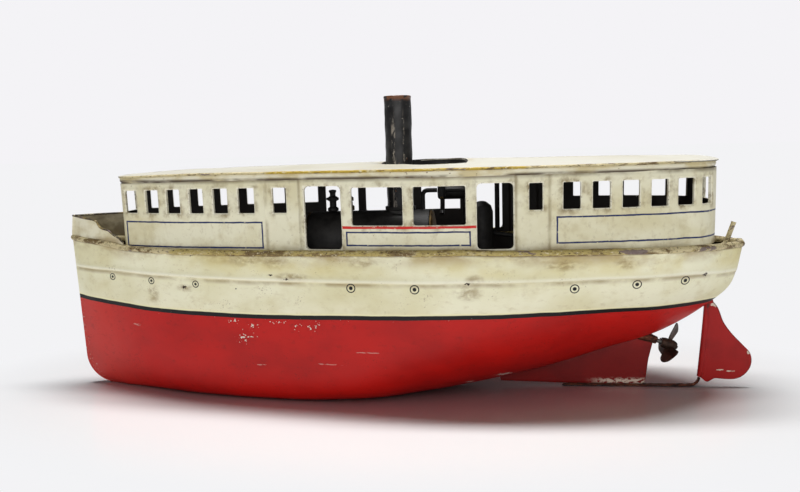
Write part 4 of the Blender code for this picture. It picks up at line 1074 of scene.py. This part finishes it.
def roof_edge(finish):
    profile = [(0.2, 130.1), (1.1, 130.2), (1.6, 130.5), (1.7, 130.9), (1.55, 131.3), (1.1, 131.6),
               (0.5, 131.6), (0.1, 131.2)]
    swept("roof_edge_roll", roof_ring(), profile, finish, "superstructure", "roof_bead", True, 0.05)


def slot_outline(grow, count=40):
    """Keyhole opening: a round end about the stack and an oval behind it."""
    turns = np.radians(np.linspace(50, 310, count))
    reach = KEYHOLE_ROUND + grow
    half_x, half_y = KEYHOLE_OVAL[0] + grow, KEYHOLE_OVAL[1] + grow
    round_end = [(STACK_X + reach * math.cos(t), reach * math.sin(t)) for t in turns]
    turns = np.linspace(-math.pi * 0.78, math.pi * 0.78, count + 12)
    return round_end + [(KEYHOLE_OVAL_X + half_x * math.cos(t), half_y * math.sin(t)) for t in turns]


def roof_level(x, y, half):
    """Height of the roof's upper face: crowned, with the metal lifted a little round the opening."""
    crown = ROOF_EDGE + ROOF_CROWN * (half / 49) * (1 - (y / np.maximum(half, 0.1)) ** 2) + droop(x)
    half_x, half_y = KEYHOLE_OVAL
    from_oval = (np.hypot((x - KEYHOLE_OVAL_X) / half_x, y / half_y) - 1) * 15
    reach = np.minimum(np.hypot(x - STACK_X, y) - KEYHOLE_ROUND, from_oval)
    lift = (2.5 * smooth(y, -12, 13) - 2.2) * smooth(reach, 17, 0.5)
    return crown + lift, np.maximum(reach, 0)


def roof(finish, lip_finish):
    s = np.r_[np.linspace(0.02, 18, 14), np.linspace(19.5, RUN_END - 0.02, 210)]
    x, half = outline_at(s, 0.9)
    half = np.maximum(half, 0.05)
    shares = np.linspace(-1, 1, 61)
    y = half[:, None] * shares[None, :]
    xx = np.repeat(x[:, None], 61, 1)
    z, reach = roof_level(xx, y, half[:, None])
    dents = [noise.noise(Vector((a / 30, b / 30, 2))) * 0.5 for a, b in zip(xx.ravel(), y.ravel())]
    z = z + np.array(dents).reshape(z.shape) * smooth(half[:, None] - np.abs(y), 0, 6)
    upper = np.stack([xx, y, z], 2).reshape(-1, 3)
    lower = upper - (0, 0, 0.6)
    rows, count = z.shape
    total = rows * count
    faces = sheet_faces(rows, count)
    attributes = {"slot": np.tile(reach.ravel(), 2), "inside": np.r_[np.zeros(total), np.ones(total)]}
    sheet = piece("roof_sheet", np.concatenate([upper, lower]), faces, finish, "superstructure",
                  "roof_panel", attributes, 50)
    outline = slot_outline(0)
    count = len(outline)
    mesh = bpy.data.meshes.new("slot_cutter")
    ends = [tuple(range(count))[::-1], tuple(range(count, 2 * count))]
    corners = [((a - MIDDLE_STATION) * MM, b * MM, c * MM) for c in (120, 145) for a, b in outline]
    mesh.from_pydata(corners, [],
                     ends + [(i, (i + 1) % count, count + (i + 1) % count, count + i) for i in range(count)])
    cutter = bpy.data.objects.new("slot_cutter", mesh)
    bpy.context.scene.collection.objects.link(cutter)
    cut = sheet.modifiers.new("slot", "BOOLEAN")
    cut.operation = "DIFFERENCE"
    cut.solver = "EXACT"
    cut.object = cutter
    bpy.context.view_layer.update()
    graph = bpy.context.evaluated_depsgraph_get()
    made = bpy.data.meshes.new_from_object(sheet.evaluated_get(graph))
    sheet.modifiers.clear()
    sheet.data = made
    bpy.data.objects.remove(cutter)
    path = []
    for a, b in slot_outline(0.55, 40):
        width = outline_at(s_of_x(a), 0.9)[1]
        path.append((a, b, float(roof_level(np.array(a), np.array(b), width)[0]) - 0.1))
    profile = [(-0.35, -2.6), (0.35, -2.6), (0.45, -0.2), (0.6, 0.15), (0.2, 0.45), (-0.35, 0.35)]
    swept("slot_lip_roll", path[::-1], profile, lip_finish, "superstructure", "slot_lip", True, 0.05,
          slot="roof_white")


# ---------------------------------------------------------------- stern gear and steam plant


def on_shaft(t, height=0.0, across=0.0):
    """The point t ahead of the propeller hub along the shaft, height above it and across to starboard."""
    aft = Vector((math.cos(SHAFT_TILT), 0, -math.sin(SHAFT_TILT)))
    up = Vector((math.sin(SHAFT_TILT), 0, math.cos(SHAFT_TILT)))
    return Vector((SHAFT_HUB[0], 0, SHAFT_HUB[1])) - aft * t + up * height + Vector((0, across, 0))


def on_rudder(height):
    x, z = RUDDER_FOOT
    return Vector((x + height * math.tan(RUDDER_RAKE), 0, z + height))


def along_line(points, count):
    """The given number of points spread evenly along the polyline."""
    points = np.array(points, float)
    run = np.r_[0, np.cumsum(np.hypot(*np.diff(points, axis=0).T))]
    stops = np.linspace(0, run[-1], count)
    return np.stack([np.interp(stops, run, points[:, 0]), np.interp(stops, run, points[:, 1])], 1)


def leaf(name, lead, trail, half, finish, body, replaced, fold=0.0, rough=0.0, count=60):
    """An upright sheet in the XZ plane between two edges; the leading one may be folded round a rod."""
    lead = along_line(lead, count)
    trail = along_line(trail, count)
    span = trail - lead
    length = np.hypot(*span.T)
    near = np.array([0, 0.08, 0.3, 0.6, 1.0, 1.4, 1.7, 2.0, 2.6]) * fold if fold else np.array([0, 0.1, 0.35])
    rows = []
    thickness = []
    edges = []
    for i in range(count):
        room = min(1.0, 0.4 * length[i] / near[-1])
        rest = np.linspace(near[-1] * room, length[i] * 0.96, 13)[1:]
        far = np.r_[near * room, rest, length[i] * 0.985, length[i]]
        if fold:
            rod_half = np.sqrt(np.maximum(fold**2 - (far / room - fold) ** 2, 0))
            wide = np.maximum(rod_half, half * smooth(far / room, 0.8 * fold, 2 * fold))
        else:
            wide = half * np.sqrt(np.clip(far / 0.5, 0.15, 1))
        wide = wide * np.sqrt(np.clip((length[i] - far) / 0.5, 0.12, 1))
        rows.append(lead[i] + span[i] / length[i] * far[:, None])
        thickness.append(wide)
        edges.append(np.minimum(length[i] - far, far + 10 * bool(fold)))
    flat = np.array(rows).reshape(-1, 2)
    wide = np.array(thickness).ravel()
    bend = wander(np.c_[flat, flat[:, :1]] * (1, 1, 0), 24, 0.5)
    points = np.concatenate([np.c_[flat[:, 0], across, flat[:, 1]] for across in (bend - wide, bend + wide)])
    if rough:
        points[:, 2] += wander(points, 2.4, rough)
    points[:, 2] = np.maximum(points[:, 2], 0)
    columns = len(rows[0])
    attributes = {"edge": np.tile(np.array(edges).ravel(), 2)}
    return piece(name, points, sheet_faces(count, columns), finish, body, replaced, attributes, 60)


def rounded(points, per=10):
    """A smooth closed curve through the points (Catmull-Rom)."""
    points = np.array(points, float)
    made = []
    count = len(points)
    for i in range(count):
        a, b, c, d = points[i - 1], points[i], points[(i + 1) % count], points[(i + 2) % count]
        for t in np.linspace(0, 1, per, endpoint=False):
            square, cube = 2 * a - 5 * b + 4 * c - d, 3 * b - a - 3 * c + d
            made.append(0.5 * (2 * b + (c - a) * t + square * t**2 + cube * t**3))
    return made


def stern_gear(red, rust, bronze, steel, tin):
    top = [(x, float(curve(KEEL_HEIGHT, x)) + 0.4) for x in np.linspace(63, 150.5, 40)]
    foot = [(64, 2.6), (100, 1.5), (136, 1.2), (146.4, 1.2), (147.5, 2.2)]
    aft = [(148.3, 9.0), (149.1, 16.1), (150.6, 23.0), (151.6, 27.5)]
    leaf("skeg_sheet", foot + aft, top + [(151.2, 31.0)], 0.5, red, "hull", "skeg_plate", 0, 0.12)
    turns = np.linspace(-math.pi / 2, -0.12, 8)
    bend_x, bend_z = HEEL_BEND
    bend = [(math.cos(t), math.sin(t)) for t in turns]
    under = [(100.0, 0.0), (bend_x, 0.0)] + [(bend_x + 5.6 * a, bend_z + 5.6 * b) for a, b in bend]
    over = [(101.0, 1.3), (bend_x, 1.4)] + [(bend_x + 4.2 * a, bend_z + 4.2 * b) for a, b in bend]
    leaf("heel_strip", under, over, 1.5, rust, "hull", "heel_bar", 0, 0.3, 110)

    blade = [(182.6, 50.4), (184.6, 49.6), (186.6, 47.2), (188.2, 43.6), (190.4, 38.0), (194.9, 31.6),
             (201.7, 24.3), (205.0, 20.6), (206.3, 16.2), (205.6, 11.4), (202.8, 7.3), (199.2, 5.0),
             (194.7, 4.3), (187, 4.9), (180.2, 6.2)]
    trailing = rounded(blade)[:-10]
    leading = [(on_rudder(h).x - RUDDER_FOLD, on_rudder(h).z) for h in (45.5, 3.2)]
    leaf("rudder_sheet", leading, trailing, 0.5, red, "rudder", "rudder_blade", RUDDER_FOLD)
    turned("rudder_stem", on_rudder(2.9), on_rudder(1) - on_rudder(0), rod(1.25, 63), red, "rudder",
           "rudder_stock")
    axis = on_rudder(1) - on_rudder(0)
    turned("tiller_ring", on_rudder(60.5), axis, tube(1.6, 3, 3), steel, "rudder", "tiller_collar")
    turned("rudder_sleeve", on_rudder(50), axis, tube(1.6, 2.4, 10), tin, "hull", "rudder_trunk")

    forward = on_shaft(1) - on_shaft(0)
    turned("stern_tube_casing", on_shaft(7), forward, [(1.5, 0), (2.0, 0), (2.4, 3), (3.1, 9), (2.6, 39),
           (1.5, 39)], rust, "hull", "stern_tube", 40, 0.3)
    turned("propeller_boss", on_shaft(4.4), -forward, [(1.5, 0), (2.6, 0), (3.1, 2), (3.1, 7), (2.3, 9),
           (1.5, 9)], bronze, "shaft_line", "propeller_hub", 40, 0.2)
    hub = on_shaft(0)
    up = on_shaft(0, 1) - hub
    across = Vector((0, 1, 0))
    aft = -forward
    for number, turn in enumerate((0, 120, 240)):
        angle = math.radians(turn)
        out = up * math.cos(angle) + across * math.sin(angle)
        side = across * math.cos(angle) - up * math.sin(angle)
        rings = []
        for r in np.linspace(VANE_ROOT, VANE_TIP, 16):
            share = (r - VANE_ROOT) / (VANE_TIP - VANE_ROOT)
            pitch = math.radians(32) * (1.35 - 0.55 * share)
            chord = side * math.cos(pitch) + aft * math.sin(pitch)
            normal = aft * math.cos(pitch) - side * math.sin(pitch)
            tip = math.sqrt(max(0.0, 1 - (max(share - 0.55, 0) / 0.47) ** 2))
            half = VANE_HALF_CHORD * max(tip * (0.42 + 0.62 * min(share / 0.5, 1.0)), 0.08)
            ring = []
            for u, v in oval(half, 0.42, 16):
                ring.append(hub + out * r + chord * u + normal * (v + 0.05 * u * u / 2))
            rings.append(ring)
        points = [p for ring in rings for p in ring]
        faces = grid_faces(16, 16, False, True) + [tuple(range(16)), tuple(range(240, 256))]
        piece(f"propeller_vane_{number + 1}", points, faces, bronze, "shaft_line",
              f"propeller_blade_{number + 1}", None, 60)
    turned("propeller_spindle", on_shaft(-5.5), forward, [(0, 0), (0.9, 0), (1.2, 0.6), (1.2, 86.9),
           (0, 86.9)], steel, "shaft_line", "propeller_shaft")


def plant(black, brass, steel, tin):
    top = BOILER_TOP
    x0, x1 = BOILER_X
    forward = on_shaft(1) - on_shaft(0)
    up = on_shaft(0, 1) - on_shaft(0)
    turned("boiler_shell", (x0, 0, BOILER_Z), AFT, tube(17, 18, 70), black, "hull", "boiler_barrel", 72)
    cap = [(0, 0), (8, 0.2), (12.6, 0.6), (16.4, 1.3), (18, 2.4), (18, 3.2), (0, 3.2)]
    turned("boiler_front_dish", (x0 - 3.5, 0, BOILER_Z), AFT, cap, brass, "hull", "boiler_front_cap")
    turned("boiler_rear_dish", (x1 + 3.5, 0, BOILER_Z), (-1, 0, 0), cap, brass, "hull", "boiler_rear_cap")
    ring = tube(8, 8.9, 2)
    turned("stack_flange", (STACK_X, 0, top), UP, ring, black, "hull", "stack_foot_ring")
    seat = [(1.3, 0), (3.4, 0), (3.4, 2.4), (2.4, 3.2), (2.4, 5.2), (1.3, 5.2)]
    turned("valve_seat", (VALVE_X, 0, top), UP, seat, brass, "hull", "safety_valve_seat")
    plug = [(0, 0.6), (1.0, 0.6), (1.0, 5.6), (3.0, 5.6), (3.0, 7.6), (1.4, 8.6), (1.4, 10.6), (0, 11.2)]
    turned("valve_plug", (VALVE_X, 0, top), UP, plug, brass, "safety_plug", "safety_valve_plug")
    front = [(20, 0, top), (20, 0, top + 10.8), (28.4, 0, top + 10.8)]
    bent_pipe("steam_line_front", front, 1.3, black, "hull", "steam_pipe_front", slot="aged_brass")
    turned("cock_barrel", (COCK_X, 0, top + 7), UP, tube(1.2, 2.3, 7), black, "hull", "steam_cock_body",
           slot="aged_brass")
    stem = [(0, -1), (0.9, -1), (0.9, 8), (1.6, 8), (1.6, 9.2), (0, 9.2)]
    turned("cock_spindle", (COCK_X, 0, top + 7), UP, stem, brass, "steam_cock", "steam_cock_stem")
    head = on_shaft(CRANK_T - 6, PIVOT_HEIGHT + 5)
    rear = [(33.6, 0, top + 10.8), (46, 0, top + 10.8), (46, 0, top - 8), (48, 10, top - 14),
            (58, 12, top - 16), (head.x - 8, 8, head.z), (head.x - 3.2, 8, head.z)]
    bent_pipe("steam_line_rear", rear, 1.3, black, "hull", "steam_pipe_rear", slot="aged_brass")
    can = [(0, 8.6), (6.5, 8.6), (6.5, 104), (5.4, 107.6), (2.6, 109.8), (1.2, 110.2), (1.2, 108.4),
           (2.4, 108), (4.6, 106.4), (5.7, 103.6), (5.7, 9.4), (0, 9.4)]
    turned("exhaust_vessel", (54, 0, 0), UP, can, black, "hull", "exhaust_can")
    rim = [(SHAFT_BORE, 0), (4, 0), (4, 1.6), (11, 1.6), (11, 0), (14, 0), (14, 6), (11, 6), (11, 4.4),
           (4, 4.4), (4, 6), (SHAFT_BORE, 6)]
    turned("flywheel_casting", on_shaft(60), forward, rim, black, "shaft_line", "flywheel")
    turned("crank_plate", on_shaft(CRANK_T), forward, tube(SHAFT_BORE, 9, 2.2), steel, "shaft_line",
           "crank_disc")
    turned("crank_stud", on_shaft(CRANK_T + 2.5, CRANK_THROW), forward, rod(0.9, 1.7), steel, "shaft_line",
           "crank_pin", sides=24)
    line = CRANK_T + 6.2
    barrel = [(0, 44.6), (3.3, 44.6), (3.3, 20), (4.6, 20), (4.6, 45), (3.6, 46.4), (0, 46.4)]
    turned("cylinder_sleeve", on_shaft(line), up, barrel, brass, "cylinder", "cylinder_barrel")
    pin = [(0, 0), (2.4, 0), (2.4, 1.4), (1.2, 1.4), (1.2, 3.7), (0, 3.7)]
    turned("cylinder_trunnion", on_shaft(CRANK_T - 7.7, PIVOT_HEIGHT), forward, pin, steel, "cylinder",
           "cylinder_pivot", sides=32)
    turned("piston_head", on_shaft(line), up, [(0, 32.4), (3, 32.4), (3, 37), (0, 37)], steel, "piston_set",
           "piston", sides=40)
    turned("piston_stem", on_shaft(line), up, [(0, 8.5), (0.8, 8.5), (0.8, 32.1), (0, 32.1)], steel,
           "piston_set", "piston_rod", sides=24)
    eye = [(1.1, -1.1), (2.1, -1.1), (2.1, 1.1), (1.1, 1.1)]
    turned("rod_eye", on_shaft(line, CRANK_THROW), forward, eye, brass, "piston_set", "piston_rod_eye", 32)
    tank = [(0, 2.6), (13, 2.6), (13, 58), (3.2, 59.4), (3.2, 62), (2.2, 62), (2.2, 58.6), (12.2, 57.2),
            (12.2, 3.4), (0, 3.4)]
    turned("spirit_tank", (TANK_X, 0, 0), UP, tank, tin, "burner", "burner_tank")
    lid = [(0, 62.3), (3.6, 62.3), (3.6, 65), (1.4, 66), (0, 66)]
    turned("filler_lid", (TANK_X, 0, 0), UP, lid, brass, "filler_cap", "burner_filler_cap")
    turned("spirit_manifold", (-70.6, 0, 42), AFT, rod(2, 74.6), tin, "burner", "burner_manifold", sides=32)
    for number, x in enumerate((-34, -14, 0)):
        turned(f"wick_holder_{number + 1}", (x, 0, 44.4), UP, tube(2.4, 3.2, 14), brass, "burner",
               f"wick_tube_{number + 1}", 32)


def cabin_fittings(black):
    """Blackened fittings seen through the doors and wide windows."""
    top = BOILER_Z + BOILER_RADIUS + 0.2
    plug = [(0, 0), (3.2, 0), (3.2, 1.6), (2.0, 2.4), (2.0, 5.6), (3.0, 6.2), (3.0, 8.0), (1.7, 8.8),
            (1.7, 10.6), (2.2, 11.2), (2.2, 12.2), (0, 12.6)]
    turned("boiler_filler_plug", (-33.4, 0, top), UP, plug, black, "hull")
    turned("filler_plug_arm", (-37.4, 0, top + 7.1), AFT, [(0, 0), (0.8, 0.2), (0.8, 7.4), (0, 7.6)], black,
           "hull", sides=20)
    turned("steam_drier", (27.6, 14.5, 114.6), AFT, [(0, 0), (3.2, 0.3), (4.1, 1.4), (4.1, 15.8), (3.2, 17),
           (0, 17.4)], black, "hull")
    bent_pipe("drier_feed_pipe", [(30.6, 14.5, 114), (30.6, 14.5, 107), (30.6, 9, 102)], 1.4, black, "hull")
    bent_pipe("drier_drain_pipe", [(42.5, 14.5, 114), (42.5, 14.5, 104), (42.5, 12, 96)], 1.4, black,
              "hull")
    turned("roof_stay", (63.4, 30, 90.5), UP, rod(1.5, 39.5), black, "superstructure", sides=24)


def stack(finish):
    foot = BOILER_TOP
    profile = [(STACK_RADIUS - 0.7, foot), (STACK_RADIUS, foot)]
    profile += [(STACK_RADIUS, z) for z in np.linspace(foot + 2, STACK_TOP - 1.6, 40)]
    profile += [(STACK_RADIUS + 0.15, STACK_TOP - 1.2), (STACK_RADIUS + 0.2, STACK_TOP - 0.5),
                (STACK_RADIUS - 0.1, STACK_TOP), (STACK_RADIUS - 0.7, STACK_TOP - 0.2)]
    turned("funnel", (STACK_X, 0, 0), UP, profile, finish, "hull", "stack_tube", 96, 0.3)


def flag_socket(finish):
    lean = (math.sin(math.radians(18)), 0, math.cos(math.radians(18)))
    profile = [(0.8, 0), (3.0, 0), (2.3, 1.4), (1.6, 2.6), (1.35, 5), (1.35, 14.2), (1.5, 14.8), (0.8, 14.8)]
    turned("flag_socket", (189.4, 0, 81.6), lean, profile, finish, "hull", "flagstaff_socket", 40, 0.25,
           slot="cream_paint")


# ---------------------------------------------------------------- stage


def camera():
    made = bpy.data.cameras.new("camera")
    made.sensor_width = 36
    made.lens = LENS
    made.clip_start = 0.01
    obj = bpy.data.objects.new("camera", made)
    turns = [Matrix.Rotation(math.radians(angle), 3, axis) for angle, axis in zip(CAMERA_TURN, "ZXY")]
    about_z, about_x, about_y = turns
    turn = about_z @ about_x @ about_y
    right, ahead, above = turn.col
    matrix = Matrix((right, above, -ahead)).transposed().to_4x4()
    matrix.translation = (Vector(CAMERA_PLACE) - Vector((MIDDLE_STATION, 0, 0))) * MM
    obj.matrix_world = matrix
    bpy.context.scene.collection.objects.link(obj)
    bpy.context.scene.camera = obj


def area_light(name, place, target, size, power):
    data = bpy.data.lights.new(name, "AREA")
    data.shape = "RECTANGLE"
    data.size, data.size_y = size
    data.energy = power
    obj = bpy.data.objects.new(name, data)
    obj.location = place
    obj.rotation_euler = (Vector(target) - Vector(place)).to_track_quat("-Z", "Y").to_euler()
    bpy.context.scene.collection.objects.link(obj)
    return obj


def studio():
    world = bpy.data.worlds.new("studio")
    world.use_nodes = True
    graph = world.node_tree
    background = graph.nodes["Background"]
    background.inputs["Color"].default_value = (*rgb(244, 243, 246), 1)
    lighting = graph.nodes.new("ShaderNodeMath")
    lighting.operation = "MULTIPLY_ADD"
    graph.links.new(graph.nodes.new("ShaderNodeLightPath").outputs["Is Camera Ray"], lighting.inputs[0])
    lighting.inputs[1].default_value = 1.0 - ROOM_LIGHT
    lighting.inputs[2].default_value = ROOM_LIGHT
    graph.links.new(lighting.outputs[0], background.inputs["Strength"])
    bpy.context.scene.world = world
    mesh = bpy.data.meshes.new("table")
    corners = [(a * TABLE_REACH, b * TABLE_REACH, 0) for a, b in ((-1, -1), (1, -1), (1, 1), (-1, 1))]
    mesh.from_pydata(corners, [], [(0, 1, 2, 3)])
    floor = bpy.data.objects.new("table", mesh)
    floor.location.z = -TABLE_DROP
    bpy.context.scene.collection.objects.link(floor)
    p = Paint("table_top")
    p.finish(rgb(244, 244, 245), 0.22)
    p.shader.inputs["Specular IOR Level"].default_value = 0.35
    wide = p.times(p.y, 2.0)
    fade = p.step(p.math("SQRT", p.plus(p.times(p.x, p.x), p.times(wide, wide))), SHADOW_REACH, WHITE_REACH)
    glow = p.nodes.new("ShaderNodeEmission")
    glow.inputs["Color"].default_value = (*rgb(243, 243, 245), 1)
    blend = p.nodes.new("ShaderNodeMixShader")
    output = next(n for n in p.nodes if n.type == "OUTPUT_MATERIAL")
    p.links.new(fade, blend.inputs[0])
    p.links.new(p.shader.outputs[0], blend.inputs[1])
    p.links.new(glow.outputs[0], blend.inputs[2])
    p.links.new(blend.outputs[0], output.inputs[0])
    mesh.materials.append(p.material)
    area_light("overhead", (-0.03, 0.11, 1.2), (-0.03, 0, 0.0), (1.0, 0.13), 16.6)
    fills = (area_light("front_fill", (0.1, -1.3, 0.6), (0, 0, 0.07), (1.4, 0.9), 8.8),
             area_light("back_fill", (0.4, 1.3, 0.7), (0, 0, 0.07), (1.2, 0.9), 2.5))
    boat = bpy.data.collections.new("lit_by_fills")
    for obj in bpy.context.scene.objects:
        if obj.type == "MESH" and obj is not floor:
            boat.objects.link(obj)
    for fill in fills:
        fill.light_linking.receiver_collection = boat
    bpy.context.scene.view_settings.view_transform = "Standard"


def dress(obj, finish):
    """Gives a CAD node that stays in view its finish and eased edges."""
    obj.data.materials.clear()
    obj.data.materials.append(finish)
    bevel = obj.modifiers.new("eased", "BEVEL")
    bevel.width = 0.2 * MM
    bevel.segments = 2
    bevel.limit_method = "ANGLE"


def main():
    hull = hull_paint()
    cabin = cabin_paint()
    rim = worn_gold("rim_lacquer", rgb(178, 160, 98), rgb(116, 96, 60), 0.52, 2, (-110, 130))
    roof_gold = worn_gold("roof_gold", rgb(184, 156, 60), rgb(92, 70, 38), 0.54, 9, (-64, 72))
    edge_gold = worn_gold("edge_lacquer", rgb(128, 110, 62), rgb(50, 40, 28), 0.46, 6, (-400, 400))
    stack_black = stack_paint()
    red = red_paint()
    rust = rust_paint()
    bronze = metal("dark_bronze", rgb(78, 54, 42), rgb(36, 25, 19), 0.5, 0.5, 3)
    brass = metal("old_brass", rgb(112, 90, 54), rgb(58, 46, 28), 0.46, 0.85, 5)
    steel = metal("dull_steel", rgb(150, 148, 144), rgb(92, 88, 84), 0.4, 0.9, 7)
    tin = metal("old_tin", rgb(168, 166, 160), rgb(112, 108, 100), 0.38, 0.9, 9)
    black = metal("stove_enamel", rgb(44, 42, 40), rgb(26, 24, 23), 0.5, 0.0, 11)
    bow_inside = metal("bow_lining", rgb(148, 136, 104), rgb(104, 92, 66), 0.5, 0.2, 13, 0.15, 9.0)

    hull_skin(-1, "hull_port_skin", "hull_port_shell", hull)
    hull_skin(1, "hull_starboard_skin", "hull_starboard_shell", hull)
    gunwale(rim)
    bow_paint = bulwark_paint()
    bulwark(-1, "bulwark_port", lambda x: float(curve(PORT_BULWARK, x)), bow_paint, edge_gold)
    bulwark(1, "bulwark_starboard", lambda x: BULWARK_HEAD, bow_paint, edge_gold)
    cabin_wall(-1, "cabin_port_sheet", "cabin_port_wall", cabin)
    cabin_wall(1, "cabin_starboard_sheet", "cabin_starboard_wall", cabin)
    cornice(cornice_paint())
    roof_edge(roof_gold)
    roof(roof_paint(), black)
    stack(stack_black)
    flag_socket(rim)
    stern_gear(red, rust, bronze, steel, tin)
    plant(black, brass, steel, tin)
    cabin_fittings(black)
    dressed = ((bow_inside, "foredeck afterdeck"), (black, "engine_bed steam_cock_lever"),
               (brass, "cylinder_port_block"),
               (steel, "boiler_cradle_front boiler_cradle_rear engine_standard engine_bearer_port "
                       "engine_bearer_starboard"))
    for finish, nodes in dressed:
        for node in nodes.split():
            dress(frame["nodes"][node], finish)
    studio()
    camera()


main()
